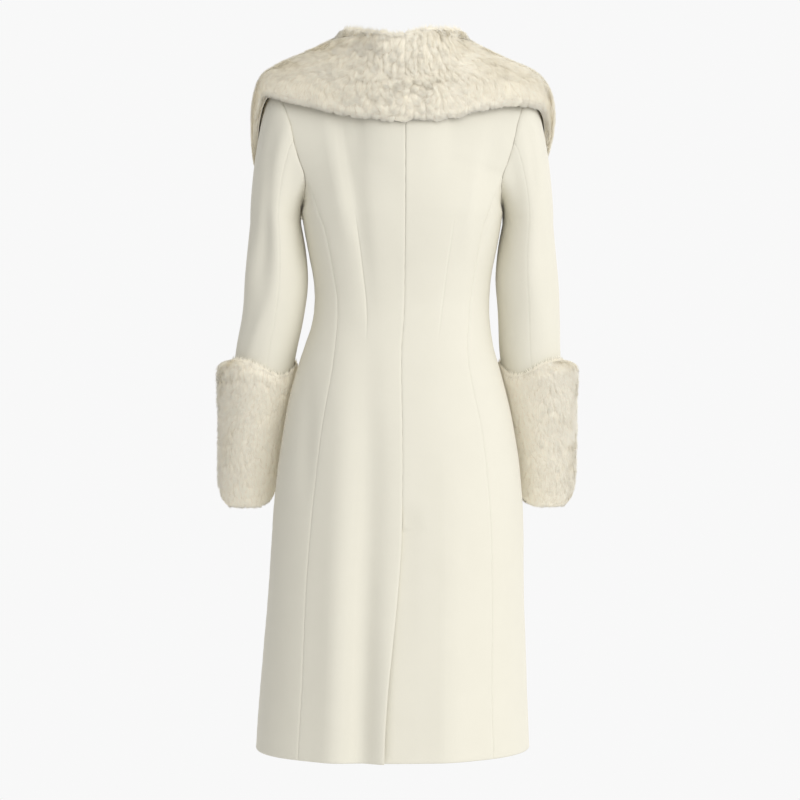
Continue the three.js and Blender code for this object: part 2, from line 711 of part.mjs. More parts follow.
function collarFaces(side, support) {
  const places = steps(0, collarEnd[side], collarEnd[side] * collarStepsPerStation);
  const shares = steps(0, 1, collarAcross);
  const under = places.map((place) => {
    const s = collarStations[side](place);
    return shares.map((t) => {
      const turn = mix(s.neckTurn, s.outerTurn, t);
      const z = mix(s.neckZ, s.outerZ, t);
      const reach = support(side * turn, z) + collarLift;
      return point(reach * Math.sin(radians(turn)), neckAxisY + reach * Math.cos(radians(turn)), z);
    });
  });
  const up = shares.map((_, t) => shares.length - 1 - t);
  const rows = up.map((t) => under.map((station) => station[t]));
  pullEdge(rows, "first", seamGap / 2);
  const normals = gridNormals(rows);
  const outer = rows.map((row, i) => row.map((p, j) => {
    const t = shares[up[i]];
    const edge = (1 - Math.abs(2 * t - 1) ** 3.2) ** (1 / 2.4);
    const along = places[j] / collarEnd[side];
    const tip = side > 0 ? 1 : 1 - 0.5 * smooth(along, 0.9, 1);
    const low = 1 - shoulderThin[side] * smooth(t, 0, 0.3) * (1 - smooth(t, 0.4, 0.8));
    const full = collarPile * collarStations[side](places[j]).pile - collarEdgePile;
    return p.clone().addScaledVector(normals[i][j], collarEdgePile + full * edge * tip * low);
  }));
  outer.forEach((row) => { row[0].x = rows[0][0].x; });
  return [outer, rows].map((grid) => grid.map((row) => {
    const placed = row.map((p) => point(side * p.x, p.y, p.z));
    return side > 0 ? placed : placed.reverse();
  }));
}

const wool = new THREE.MeshStandardMaterial({ color: 0xefebdc, roughness: 0.92, metalness: 0 });
const fur = new THREE.MeshStandardMaterial({ color: 0xe9e3d3, roughness: 1, metalness: 0 });
const covered = new THREE.MeshStandardMaterial({ color: 0xebe6d6, roughness: 0.85, metalness: 0 });

const coat = new THREE.Group();

function add(name, geometry, material) {
  const mesh = new THREE.Mesh(geometry, material);
  mesh.name = name;
  coat.add(mesh);
}

// A covered button: a low dome with a flat back, laid on the right front. The dome is given as shares of the
// button's radius and rise.
const buttonDome = [[0, 0], [0.86, 0], [1, 0.28], [0.97, 0.5], [0.8, 0.8], [0.45, 0.96], [0, 1]];

function buttonGeometry(buttonZ) {
  const profile = buttonDome.map(([out, up]) => new THREE.Vector2(out * buttonRadius, up * buttonRise));
  const geometry = new THREE.LatheGeometry(profile, 20).rotateX(Math.PI);
  const places = geometry.attributes.position;
  for (let i = 0; i < places.count; i++) {
    const x = places.getX(i);
    const z = buttonZ + places.getZ(i);
    const s = sections(z);
    const cloth = s.front * (1 - Math.abs(x / s.width) ** s.corner) ** (1 / s.corner) + lapStep;
    places.setXYZ(i, x + s.sway, places.getY(i) - cloth - buttonGap, z);
  }
  return geometry;
}

const sides = [[1, "left"], [-1, "right"]];
const panels = [
  ["back", "back"],
  ["sideBack", "side_back"],
  ["sideFront", "side_front"],
  ["front", "front"],
];
const faces = [];

for (const [side, word] of sides) {
  for (const [panel, label] of panels) {
    const face = panelFace(panel, side);
    faces.push(face.outer);
    add(`${label}_${word}`, solidBetween(face.outer, face.inner), wool);
  }
  const upper = sleeveFace(sleeveFrontSeam, armhole.length + sleeveBackSeam, side);
  const under = sleeveFace(sleeveBackSeam, sleeveFrontSeam, side);
  faces.push(upper.outer, under.outer);
  add(`upper_sleeve_${word}`, solidBetween(upper.outer, upper.inner), wool);
  add(`under_sleeve_${word}`, solidBetween(under.outer, under.inner), wool);
  add(`fur_cuff_${word}`, solidBetween(cuffFace(side, true), cuffFace(side, false), true), fur);
}

const support = supportOf(faces);
for (const [side, word] of sides) {
  const [outer, under] = collarFaces(side, support);
  add(`fur_collar_${word}`, solidBetween(outer, under), fur);
}

buttonHeights.forEach((z, i) => {
  add(`button_${i + 1}`, buttonGeometry(z), covered);
});

export default coat;
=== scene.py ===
"""Looks of a fitted ivory wool coat with a wide fur shawl collar and deep fur cuffs.

The coat is hollow and keeps the pose it has when it is worn. Its sizes are in millimetres, as a maker
gives them, and its meshes are made in metres. The coat faces -Y and the wearer's left is +X.
"""

from __future__ import annotations

import logging
import math
from dataclasses import dataclass, field
from enum import Enum
from typing import Callable

import bpy
import numpy as np
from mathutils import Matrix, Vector, kdtree


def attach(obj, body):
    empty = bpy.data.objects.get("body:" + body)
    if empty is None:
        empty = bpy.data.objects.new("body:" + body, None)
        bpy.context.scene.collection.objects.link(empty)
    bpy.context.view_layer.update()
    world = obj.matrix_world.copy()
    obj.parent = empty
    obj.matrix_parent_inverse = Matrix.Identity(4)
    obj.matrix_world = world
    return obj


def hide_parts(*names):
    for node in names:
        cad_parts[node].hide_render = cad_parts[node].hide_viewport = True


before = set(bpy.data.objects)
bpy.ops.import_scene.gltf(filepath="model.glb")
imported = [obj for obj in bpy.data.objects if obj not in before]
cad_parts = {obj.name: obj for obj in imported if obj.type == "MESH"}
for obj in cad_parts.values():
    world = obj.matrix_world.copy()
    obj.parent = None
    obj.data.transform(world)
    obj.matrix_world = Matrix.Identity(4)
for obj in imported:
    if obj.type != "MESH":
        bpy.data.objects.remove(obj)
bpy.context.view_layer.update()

log = logging.getLogger("coat")
Array = np.ndarray

MM = 0.001
WALL = 3.0
SEAM_GAP = 0.02

HEM_Z = -1035.0
CHEST_Z = -250.0
BREAK_Z = -335.0
FRONT_LAP = 30.0
LAP_STEP = 2.2
LAP_BLEND = (32.0, 52.0)
LAP_RISE = (252.0, 296.0)

VENT_TOP_Z = -705.0
VENT_SWING = 18.0
VENT_UNDERLAP = 46.0
VENT_STEP = 4.2
VENT_BLEND = (5.0, 45.0)
UNDERLAP_BLEND = (6.0, 34.0)
VENT_LIFT = 7.0
VENT_LIFT_REACH = (14.0, 58.0)


class Side(Enum):
    """The side of the wearer that a piece is on."""

    LEFT = 1
    RIGHT = -1

    @property
    def word(self) -> str:
        """The side's name as it stands in a node's name."""
        return self.name.lower()


def smooth(value: Array, low: float, high: float) -> Array:
    """Rises softly from 0 at low to 1 at high."""
    t = np.clip((np.asarray(value, float) - low) / (high - low), 0, 1)
    return t * t * (3 - 2 * t)


def mix(start: Array, end: Array, share: Array) -> Array:
    """A value part of the way from start to end."""
    return start + (end - start) * share


def points(x: Array, y: Array, z: Array) -> Array:
    """Joins three coordinates into points."""
    return np.stack(np.broadcast_arrays(x, y, z), axis=-1).astype(float)


def unit(vectors: Array) -> Array:
    """The same directions with a length of 1."""
    return vectors / np.maximum(np.linalg.norm(vectors, axis=-1, keepdims=True), 1e-9)


@dataclass(frozen=True)
class SizeTable:
    """Sizes along a piece, read on a smooth curve through the rows.

    The first column of a row is the place along the piece.
    """

    columns: tuple[str, ...]
    rows: tuple[tuple[float, ...], ...]

    def read(self, place: Array) -> dict[str, Array]:
        """Reads every column at a place.

        Args:
            place: one place or an array of them.

        Returns:
            An array for each column, by its name.
        """
        rows = np.array(self.rows, float)
        last = len(rows) - 1
        at = np.clip(np.asarray(place, float), rows[0, 0], rows[-1, 0])
        i = np.clip(np.searchsorted(rows[:, 0], at, side="right") - 1, 0, last - 1)
        order = np.arange(last + 1)
        before, after = rows[np.maximum(order - 1, 0)], rows[np.minimum(order + 1, last)]
        slopes = (after - before) / (after[:, :1] - before[:, :1])
        span = rows[i + 1, 0] - rows[i, 0]
        t = (at - rows[i, 0]) / span
        read = {}
        for c, name in enumerate(self.columns):
            ends = rows[i, c] * (1 + 2 * t) * (1 - t) ** 2 + rows[i + 1, c] * (3 - 2 * t) * t**2
            turns = slopes[i, c] * t * (1 - t) ** 2 - slopes[i + 1, c] * (1 - t) * t**2
            read[name] = ends + span * turns
        return read


# The body's level sections from hem to chest, as the exponent of the rounded outline, the shift to the
# wearer's left, and how far from the middle the shaped seams of back and front lie
SECTIONS = SizeTable(
    ("z", "width", "back", "front", "corner", "sway", "back_seam", "front_seam"),
    (
        (-1035, 202, 152, 150, 2.1, 14, 140, 128),
        (-930, 196, 148, 145, 2.1, 12, 136, 124),
        (-810, 189, 143, 138, 2.15, 9, 134, 118),
        (-700, 185, 139, 132, 2.2, 6, 129, 112),
        (-622, 178.5, 136, 127, 2.25, 5, 122, 106),
        (-565, 170, 131, 122, 2.3, 5, 115, 100),
        (-522, 162, 123, 118, 2.3, 5.5, 107, 95),
        (-479, 150.5, 110, 112, 2.3, 5.5, 99, 88),
        (-443, 139.5, 98, 106, 2.3, 4.5, 95.5, 84),
        (-408, 131.5, 90.5, 101, 2.3, 1.5, 95.5, 82),
        (-376, 129, 88, 99, 2.3, 0, 97, 82),
        (-344, 131, 92, 104, 2.35, 0, 102, 86),
        (-310, 137, 100, 115, 2.45, 0, 108, 92),
        (-278, 143, 107, 126, 2.55, 0, 115, 98),
        (-250, 147.5, 111.5, 131, 2.65, 0, 125, 106),
    ),
)

# The line of the back's waist dart, which the cloth's mesh follows over the whole panel
DART_LINE = SizeTable(
    ("z", "x"),
    ((-1035, 64), (-800, 60), (-600, 53), (-480, 51), (-408, 53), (-340, 60), (-272, 69), (-250, 72)),
)

# The sleeve's level sections: its middle across and front to back, and half its width and depth
SLEEVE_SECTIONS = SizeTable(
    ("z", "across", "deep", "width", "depth"),
    (
        (-672, 218, -50, 30, 35),
        (-600, 214, -38, 32, 38),
        (-536, 206.5, -27, 37, 41.5),
        (-470, 198.5, -15, 44, 45),
        (-434, 194, -9, 45.5, 47),
        (-390, 189, -4, 46, 50),
        (-344, 185.5, 0, 46.5, 52.5),
        (-300, 185, 1, 42.5, 55),
        (-262, 186.5, 2, 37.5, 58),
    ),
)

NECK_BACK = (0, 66, -18)
NECK_SIDE = (72, 6, 2)
BACK_SEAM_TOP = ((133.5, 70, -223),)
FRONT_SEAM_TOP = ((120, -97, -223), (134, -84, -201))
CENTRE_BACK = ((0, 114, -192), (0, 109.5, -126), (0, 94, -67), NECK_BACK)
NECKLINE = ((30, -121.5, -235), (52, -100, -165), (66, -62, -85), (73, -22, -22), NECK_SIDE)

# The armhole, round from the shoulder's end by the back and the underarm to the front, and the way each
# point faces round the sleeve in degrees: 0 is outward, 90 to the back, 180 to the body, 270 to the front
ARMHOLE = np.array(
    (
        (188, 0, -55, 0),
        (184, 26, -67, 24),
        (177, 47, -86, 48),
        (167, 60, -116, 73),
        (159.5, 65, -149, 96),
        (152, 64.5, -174, 115),
        (144, 62, -197, 132),
        (143.5, 48, -217, 149),
        (145.5, 26, -231, 165),
        (149, 0, -236, 180),
        (145.5, -24, -232, 195),
        (143, -46, -220, 211),
        (143, -62, -200, 228),
        (146, -68, -178, 245),
        (150, -68, -155, 262),
        (156, -64, -130, 280),
        (166, -54, -97, 300),
        (177, -37, -74, 320),
        (184, -18, -62, 340),
    ),
    float,
)
BACK_NOTCH, UNDERARM, FRONT_NOTCH, ROUND = 6, 9, 13, len(ARMHOLE)
SLEEVE_BACK_SEAM, SLEEVE_FRONT_SEAM = 4, 14
SHOULDER_END = ARMHOLE[0, :3]


def armhole_at(place: Array) -> Array:
    """Points of the armhole, by their place in the round of its stations."""
    i = np.floor(place).astype(int)
    t = (place - i)[..., None]
    p0, p1, p2, p3 = (ARMHOLE[(i + k) % ROUND, :3] for k in (-1, 0, 1, 2))
    return 0.5 * (
        2 * p1 + (p2 - p0) * t + (2 * p0 - 5 * p1 + 4 * p2 - p3) * t**2
        + (3 * p1 - p0 - 3 * p2 + p3) * t**3
    )


def armhole_turn(place: Array) -> Array:
    """The way that a place of the armhole faces round the sleeve, in radians."""
    turns = np.append(ARMHOLE[:, 3], 360)
    return np.radians(np.interp(np.mod(place, ROUND), np.arange(ROUND + 1), turns))


def line_through(knots: Array, per_span: int = 10) -> Array:
    """A smooth line through points.

    Args:
        knots: the points.
        per_span: how many steps there are from one point to the next.

    Returns:
        The line as close points.
    """
    knots = np.array([tuple(k) for k in knots], float)
    ends = (2 * knots[0] - knots[1], 2 * knots[-1] - knots[-2])
    full = np.vstack((ends[0], knots, ends[1]))
    gaps = np.sqrt(np.linalg.norm(np.diff(full, axis=0), axis=1))
    line = []
    for i in range(1, len(full) - 2):
        d0, d1, d2 = np.maximum(gaps[i - 1 : i + 2], 1e-6)
        p0, p1, p2, p3 = full[i - 1 : i + 3]
        leave = ((p1 - p0) / d0 - (p2 - p0) / (d0 + d1) + (p2 - p1) / d1) * d1
        arrive = ((p2 - p1) / d1 - (p3 - p1) / (d1 + d2) + (p3 - p2) / d2) * d1
        t = np.linspace(0, 1, per_span, endpoint=False)[:, None]
        line.append(bend(p1, leave, p2, arrive, t))
    return np.vstack((*line, knots[-1:]))


def bend(start: Array, leave: Array, end: Array, arrive: Array, t: Array) -> Array:
    """A smooth curve from start to end with the given directions there."""
    return (
        start * (1 + 2 * t) * (1 - t) ** 2 + leave * t * (1 - t) ** 2
        + end * t * t * (3 - 2 * t) - arrive * t * t * (1 - t)
    )


def lengths_along(line: Array) -> Array:
    """How far along a line each of its points lies."""
    steps = np.linalg.norm(np.diff(line, axis=0), axis=-1)
    return np.concatenate((np.zeros((1, *steps.shape[1:])), np.cumsum(steps, axis=0)))


def shares_of(line: Array) -> Array:
    """The share of a line's length at which each of its points lies."""
    along = lengths_along(line)
    return along / along[-1]


def part_of_line(line: Array, shares: Array) -> Array:
    """Points of a line by their shares of its length."""
    along = lengths_along(line)
    return np.stack([np.interp(shares * along[-1], along, line[:, k]) for k in range(3)], axis=-1)


def steps_to_edges(length: float, step: float, low: bool = True, high: bool = True) -> Array:
    """Shares from 0 to 1, closer together where a seam or a fold of the cloth needs them.

    Args:
        length: the length that the shares are of.
        step: how far apart the steps are away from the edges.
        low: whether they close up towards 0.
        high: whether they close up towards 1.

    Returns:
        The shares in order.
    """
    close = np.array((0, 0.5, 1.1, 1.9, 3.2))
    first, last = (close[-1] if low else 0), (length - close[-1] if high else length)
    parts = [np.linspace(first, last, max(round((last - first) / step), 1) + 1)]
    if low:
        parts.append(close)
    if high:
        parts.append(length - close)
    return np.unique(np.round(np.concatenate(parts), 4)) / length


def grid_normals(grid: Array, wrap: bool = False) -> Array:
    """Outward normals of a grid whose rows run up and whose columns run round from back to front."""
    up = np.empty_like(grid)
    up[1:-1] = grid[2:] - grid[:-2]
    up[0], up[-1] = grid[1] - grid[0], grid[-1] - grid[-2]
    if wrap:
        along = np.roll(grid, -1, axis=1) - np.roll(grid, 1, axis=1)
    else:
        along = np.empty_like(grid)
        along[:, 1:-1] = grid[:, 2:] - grid[:, :-2]
        along[:, 0], along[:, -1] = grid[:, 1] - grid[:, 0], grid[:, -1] - grid[:, -2]
    return unit(np.cross(up, along))


def on_side(grid: Array, side: Side, swayed: bool = True) -> Array:
    """Takes a grid made on the wearer's left to its own side of the coat."""
    placed = grid * (side.value, 1, 1)
    if swayed:
        placed[..., 0] += SECTIONS.read(grid[..., 2])["sway"]
    return placed if side is Side.LEFT else placed[:, ::-1]


def body_point(z: Array, angle: Array) -> Array:
    """Points of the body's level sections. angle is 0 at centre back and 180 degrees at centre front."""
    s = SECTIONS.read(z)
    power = 2 / s["corner"]
    across = np.sign(np.sin(angle)) * np.abs(np.sin(angle)) ** power
    deep = np.abs(np.cos(angle)) ** power
    return points(s["width"] * across, np.where(np.cos(angle) > 0, s["back"], -s["front"]) * deep, z)


def back_angle(z: Array, x: Array) -> Array:
    """The angle at which the back of a section lies x from the middle."""
    s = SECTIONS.read(z)
    return np.sign(x) * np.arcsin(np.minimum(np.abs(x) / s["width"], 1) ** (s["corner"] / 2))


def front_angle(z: Array, x: Array) -> Array:
    """The angle at which the front of a section lies x from the middle."""
    return np.pi - back_angle(z, x)


def near_middle(x: Array, reach: tuple[float, float]) -> Array:
    """Is 1 up to the nearer reach from the middle, and falls softly to 0 at the farther one."""
    return smooth(-x, -reach[1], -reach[0])


def vent_open(z: Array) -> Array:
    """How far the vent has opened, from 0 at its top to 1 at the hem."""
    return smooth(-z, -VENT_TOP_Z, -HEM_Z)


@dataclass(frozen=True)
class Fold:
    """A soft fold of the back, measured across from the centre back. A negative depth is a trough."""

    side: Side
    top: tuple[float, float]
    bottom: tuple[float, float]
    spread: float
    depth: float

    def at(self, x: Array, z: Array) -> Array:
        """How far the cloth stands out of its plain form."""
        along = (self.top[1] - z) / (self.top[1] - self.bottom[1])
        away = (x - mix(self.top[0], self.bottom[0], along)) / self.spread
        shape = np.sin(np.pi * np.clip(along, 0, 1))
        return self.depth * shape * np.exp(-away * away)


FOLDS = (
    Fold(Side.LEFT, (102, -60), (62, -330), 11, -3.2),
    Fold(Side.LEFT, (118, -70), (84, -300), 10, 2.4),
    Fold(Side.LEFT, (78, -100), (50, -420), 12, -3.4),
    Fold(Side.LEFT, (47, -400), (50, -1450), 20, -9),
    Fold(Side.LEFT, (86, -420), (96, -1450), 20, 6),
    Fold(Side.LEFT, (132, -470), (140, -680), 12, -3),
    Fold(Side.RIGHT, (132, -100), (108, -310), 12, -3),
    Fold(Side.RIGHT, (112, -130), (84, -330), 10, 1.8),
    Fold(Side.RIGHT, (136, -215), (108, -325), 5, -1.5),
    Fold(Side.RIGHT, (70, -520), (84, -1450), 26, 3.5),
    Fold(Side.RIGHT, (34, -640), (36, -1450), 18, -2.5),
)


def folds_of(side: int, x: Array, z: Array) -> Array:
    """The folds of one side of the back, added up."""
    return sum(fold.at(x, z) for fold in FOLDS if fold.side.value == side)


def stand_out(side: Side, p: Array) -> Array:
    """How far a panel's face stands out from the plain body, by its folds and its laps."""
    x, y, z = p[..., 0], p[..., 1], p[..., 2]
    lap = near_middle(x, LAP_BLEND) * smooth(-z, *LAP_RISE)
    vent = smooth(-z, -VENT_TOP_Z - VENT_BLEND[1], -VENT_TOP_Z - VENT_BLEND[0])
    under = -VENT_STEP * vent * near_middle(x, UNDERLAP_BLEND) if side is Side.RIGHT else 0
    lift = VENT_LIFT * vent_open(z) * near_middle(x, VENT_LIFT_REACH) if side is Side.LEFT else 0
    fold = np.where(x < 0, folds_of(-side.value, -x, z), folds_of(side.value, x, z))
    back = fold * smooth(y, 0, 30) + under + lift
    return np.where(y < 0, -side.value * LAP_STEP * lap, back)


@dataclass(frozen=True)
class Ripples:
    """The small unevenness of a soft cloth that hangs, as waves that cross each other."""

    height: float = 0.34
    lengths: tuple[float, ...] = (118, 83, 61, 47)
    seed: int = 7

    def at(self, p: Array) -> Array:
        """How far the cloth stands out at each point."""
        rng = np.random.default_rng(self.seed)
        total = np.zeros(p.shape[:-1])
        for length in self.lengths:
            for _ in range(3):
                way = unit(rng.normal(size=3) * (1, 1, 0.45))
                phase = rng.uniform(0, 2 * np.pi)
                total += np.sin(p @ way * 2 * np.pi / length + phase) * length / self.lengths[0]
        return self.height * total / 3


@dataclass(frozen=True)
class Seam:
    """A pressed seam: the cloth dips to it and puckers a little along it."""

    depth: float = 0.6
    spread: float = 1.7
    pucker: float = 0.22
    pucker_reach: float = 8.0
    pucker_step: float = 23.0

    def dip(self, distance: Array, along: Array) -> Array:
        """How far the cloth stands out at a distance from the seam."""
        wave = np.sin(along * 2 * np.pi / self.pucker_step + 2.2 * np.sin(along / 61))
        fall = -self.depth * np.exp(-((distance / self.spread) ** 2))
        return fall + self.pucker * wave * np.exp(-distance / self.pucker_reach)


SEAM = Seam()
SLEEVE_SEAM = Seam(depth=0.35, spread=2.2, pucker=0.18)
FOLDED_EDGE = Seam(depth=1.3, spread=1.0, pucker=0.0)


def metres_mesh(name: str, vertices: Array, *kinds: Array) -> bpy.types.Mesh:
    """Makes a smooth mesh.

    Args:
        name: the mesh's name.
        vertices: its points in millimetres.
        kinds: the corners of its faces, an array for each number of corners.

    Returns:
        The mesh, in metres.
    """
    corners = np.concatenate([faces.ravel() for faces in kinds])
    sizes = np.concatenate([np.full(len(faces), faces.shape[1]) for faces in kinds])
    mesh = bpy.data.meshes.new(name)
    mesh.vertices.add(len(vertices))
    mesh.vertices.foreach_set("co", (vertices * MM).astype(np.float32).ravel())
    mesh.loops.add(len(corners))
    mesh.loops.foreach_set("vertex_index", corners.astype(np.int32))
    mesh.polygons.add(len(sizes))
    mesh.polygons.foreach_set("loop_start", (np.cumsum(sizes) - sizes).astype(np.int32))
    mesh.update(calc_edges=True)
    mesh.shade_smooth()
    return mesh


def put(name: str, data: bpy.types.ID) -> bpy.types.Object:
    """Puts a mesh, a lamp or a camera into the scene."""
    holder = bpy.data.objects.new(name, data)
    bpy.context.collection.objects.link(holder)
    return holder


def wall_faces(rows: int, columns: int, wrap: bool = False) -> Array:
    """The four-sided faces of a closed wall between two grids, the outer one first."""
    count = columns if wrap else columns - 1
    i, j = np.meshgrid(np.arange(rows - 1), np.arange(count), indexing="ij")
    a, b = i * columns + j, i * columns + (j + 1) % columns
    up = columns
    inside = rows * columns
    outer = np.stack((a, a + up, b + up, b), axis=-1).reshape(-1, 4)
    inner = np.stack((a, b, b + up, a + up), axis=-1).reshape(-1, 4) + inside
    j = np.arange(count)
    a, b = j, (j + 1) % columns
    top = (rows - 1) * columns
    hem = np.stack((a, b, b + inside, a + inside), axis=-1)
    rim = np.stack((a + top, a + top + inside, b + top + inside, b + top), axis=-1)
    parts = [outer, inner, hem, rim]
    if not wrap:
        i = np.arange(rows - 1) * columns
        k = i + columns - 1
        parts.append(np.stack((i, i + inside, i + up + inside, i + up), axis=-1))
        parts.append(np.stack((k, k + up, k + up + inside, k + inside), axis=-1))
    return np.concatenate(parts)


@dataclass
class ClothShell:
    """A thin wall of cloth over a grid of points, with its edges rounded and its seams drawn in."""

    name: str
    node: str
    face: Array
    cut: tuple[float, float]

    def area(self) -> float:
        """The area of the outer face in square metres."""
        across = self.face[1:, 1:] - self.face[:-1, :-1]
        up = self.face[1:, :-1] - self.face[:-1, 1:]
        return float(np.linalg.norm(np.cross(across, up), axis=-1).sum() / 2) * MM * MM

    def build(self, finish: "Finish") -> bpy.types.Object:
        inner = self.face - grid_normals(self.face) * WALL
        rows, columns = self.face.shape[:2]
        vertices = np.concatenate((self.face.reshape(-1, 3), inner.reshape(-1, 3)))
        mesh = metres_mesh(self.name, vertices, wall_faces(rows, columns))
        piece = put(self.name, mesh)
        dress(piece, finish, self.node)
        area = self.area()
        width, length = self.cut
        width * MM
        length * MM
        log.info("%s: %d faces, %.3f m2 of cloth", self.name, len(mesh.polygons), area)
        return piece


def dress(piece: bpy.types.Object, finish: "Finish", node: str) -> None:
    """Gives a piece its finish, hangs it from the body's root and hides the model's part that it stands in
    for.
    """
    piece.data.materials.append(finish.material())
    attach(piece, "root")
    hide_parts(node)


@dataclass
class BodyPanel:
    """One panel of the body: level rows from the hem to the chest, and rising rows above it."""

    side: Side
    step: float = 8.0
    ripples: Ripples = field(default_factory=Ripples)

    name = "panel"
    cut = (200.0, 1040.0)
    seamed = (True, True, True)

    def heights(self) -> Array:
        """The heights of the level rows."""
        return mix(HEM_Z, CHEST_Z, steps_to_edges(CHEST_Z - HEM_Z, self.step, high=False))

    def plain_rows(self) -> Array:
        """The panel's rows on the wearer's left, before folds and seams."""
        raise NotImplementedError

    def rising_rows(
        self, chest: Array, top: Array, left: Array, right: Array, arrive: Array, high: bool
    ) -> Array:
        """Rows above the chest, each column rising smoothly from the chest row to the top edge.

        Args:
            chest: the chest row.
            top: the top edge, a point for each column.
            left: the line of the first column's edge.
            right: the line of the last column's edge.
            arrive: the direction in which each column meets the top edge.
            high: whether the rows close up towards the top edge.

        Returns:
            The rows above the chest row.
        """
        length = max(lengths_along(left)[-1], lengths_along(right)[-1])
        v = steps_to_edges(length, self.step * 0.75, low=False, high=high)[1:]
        reach = np.linalg.norm(top - chest, axis=-1, keepdims=True)
        lean = np.where(chest[:, 1] > 0, 0.12, -0.1)
        rise = unit(points(0.1 * chest[:, 0] / 147, lean, np.ones(len(chest))))
        t = v[:, None, None]
        grid = bend(chest, rise * reach, top, arrive * reach, t)
        across = shares_of(chest)[None, :, None]
        low_edge = (part_of_line(left, v) - grid[:, 0])[:, None]
        high_edge = (part_of_line(right, v) - grid[:, -1])[:, None]
        return grid + low_edge * (1 - across) + high_edge * across

    def seam_dips(self, rows: Array) -> Array:
        """How far the seams round the panel draw its cloth in."""
        across = lengths_along(np.swapaxes(rows, 0, 1)).T
        upward = lengths_along(rows)
        first, last, top = self.seamed
        dips = FOLDED_EDGE.dip(upward, upward)
        dips = dips + (SLEEVE_SEAM if top else FOLDED_EDGE).dip(upward[-1] - upward, across)
        dips = dips + (SEAM if first else FOLDED_EDGE).dip(across, upward)
        return dips + (SEAM if last else FOLDED_EDGE).dip(across[:, -1:] - across, upward)

    def shell(self) -> ClothShell:
        """The panel as a wall of cloth on its own side of the coat."""
        rows = self.plain_rows()
        rows = rows + grid_normals(rows) * stand_out(self.side, rows)[..., None]
        mirrored = rows * (self.side.value, 1, 1)
        out = self.seam_dips(rows) + self.ripples.at(mirrored) + self.extra(rows)
        rows = rows + grid_normals(rows) * out[..., None]
        for edge, inner in ((0, 1), (-1, -2)):
            rows[:, edge] += unit(rows[:, inner] - rows[:, edge]) * SEAM_GAP / 2
        name = f"{self.name}_{self.side.word}"
        return ClothShell(f"{name}_cloth", name, on_side(rows, self.side), self.cut)

    def extra(self, rows: Array) -> Array:
        """What else shapes the panel's face, such as a dart."""
        return np.zeros(rows.shape[:2])


def onto_shoulder(sign: int, inward: Array) -> Array:
    """The direction in which the cloth runs onto the shoulder seam, by how far in from the neck it is."""
    rise = 0.75 * (1 - smooth(inward, 0, 0.5))
    return points(np.zeros_like(inward), np.full_like(inward, sign * 1.15), rise)


@dataclass
class BackPanel(BodyPanel):
    """A centre back panel, from the centre back seam to the shaped seam, with its waist dart."""

    dart_depth: dict[Side, float] = field(default_factory=lambda: {Side.LEFT: 0.8, Side.RIGHT: 0.35})
    dart_spread: float = 1.3
    dart_top: float = -262.0
    dart_bottom: float = -418.0
    neck_share: float = 3 / 7

    name = "back"
    cut = (200.0, 1084.0)

    def vent_edge(self, z: Array) -> Array:
        """How far from the middle the panel's centre edge lies."""
        if self.side is Side.LEFT:
            return VENT_SWING * vent_open(z)
        return np.where(z < VENT_TOP_Z - 1, -VENT_UNDERLAP, 0.0)

    def plain_rows(self) -> Array:
        """The panel's rows on the wearer's left, before folds and seams."""
        z = self.heights()
        start = back_angle(z, self.vent_edge(z))[:, None]
        dart = back_angle(z, DART_LINE.read(z)["x"])[:, None]
        end = back_angle(z, SECTIONS.read(z)["back_seam"])[:, None]
        inner, outer = steps_to_edges(60, self.step * 0.85), steps_to_edges(62, self.step * 0.85)[1:]
        angles = np.concatenate((mix(start, dart, inner), mix(dart, end, outer)), axis=1)
        lower = body_point(z[:, None], angles)
        chest = lower[-1]
        seam = line_through((chest[-1], *BACK_SEAM_TOP, ARMHOLE[BACK_NOTCH, :3]))
        edge = np.vstack((seam[:-1], armhole_at(np.linspace(BACK_NOTCH, 0, 61))))
        neck = line_through((NECK_BACK, (36, 55, -12), (62, 30, -2), NECK_SIDE))
        across = shares_of(chest)
        share = self.neck_share
        on_neck = part_of_line(neck, np.clip(across / share, 0, 1))
        past_neck = (across - share) / (1 - share)
        on_shoulder = mix(np.array(NECK_SIDE, float), SHOULDER_END, past_neck[:, None])
        top = np.where((across < share)[:, None], on_neck, on_shoulder)
        centre = line_through((chest[0], *CENTRE_BACK))
        return np.vstack((lower, self.rising_rows(chest, top, centre, edge, onto_shoulder(-1, across), True)))

    def extra(self, rows: Array) -> Array:
        """The waist dart, stitched along its line and fading at both ends."""
        z = rows[..., 2]
        away = rows[..., 0] - DART_LINE.read(z)["x"]
        from_bottom = smooth(z, self.dart_bottom - 22, self.dart_bottom + 22)
        shown = from_bottom * smooth(-z, -self.dart_top - 14, -self.dart_top + 26)
        return -self.dart_depth[self.side] * shown * np.exp(-((away / self.dart_spread) ** 2))


@dataclass
class SideBackPanel(BodyPanel):
    """A side back panel, from the back's shaped seam to the side seam."""

    name = "side_back"
    cut = (146.0, 852.0)

    def plain_rows(self) -> Array:
        """The panel's rows on the wearer's left, before folds and seams."""
        z = self.heights()
        share = steps_to_edges(128, self.step * 0.8)
        start = back_angle(z, SECTIONS.read(z)["back_seam"])[:, None]
        lower = body_point(z[:, None], mix(start, np.pi / 2, share))
        chest = lower[-1]
        top = armhole_at(mix(BACK_NOTCH, UNDERARM, share))
        seam = line_through((chest[0], *BACK_SEAM_TOP, top[0]))
        up = np.tile((0.0, 0.0, 1.0), (len(chest), 1))
        rising = self.rising_rows(chest, top, seam, np.stack((chest[-1], top[-1])), up, True)
        return np.vstack((lower, rising))


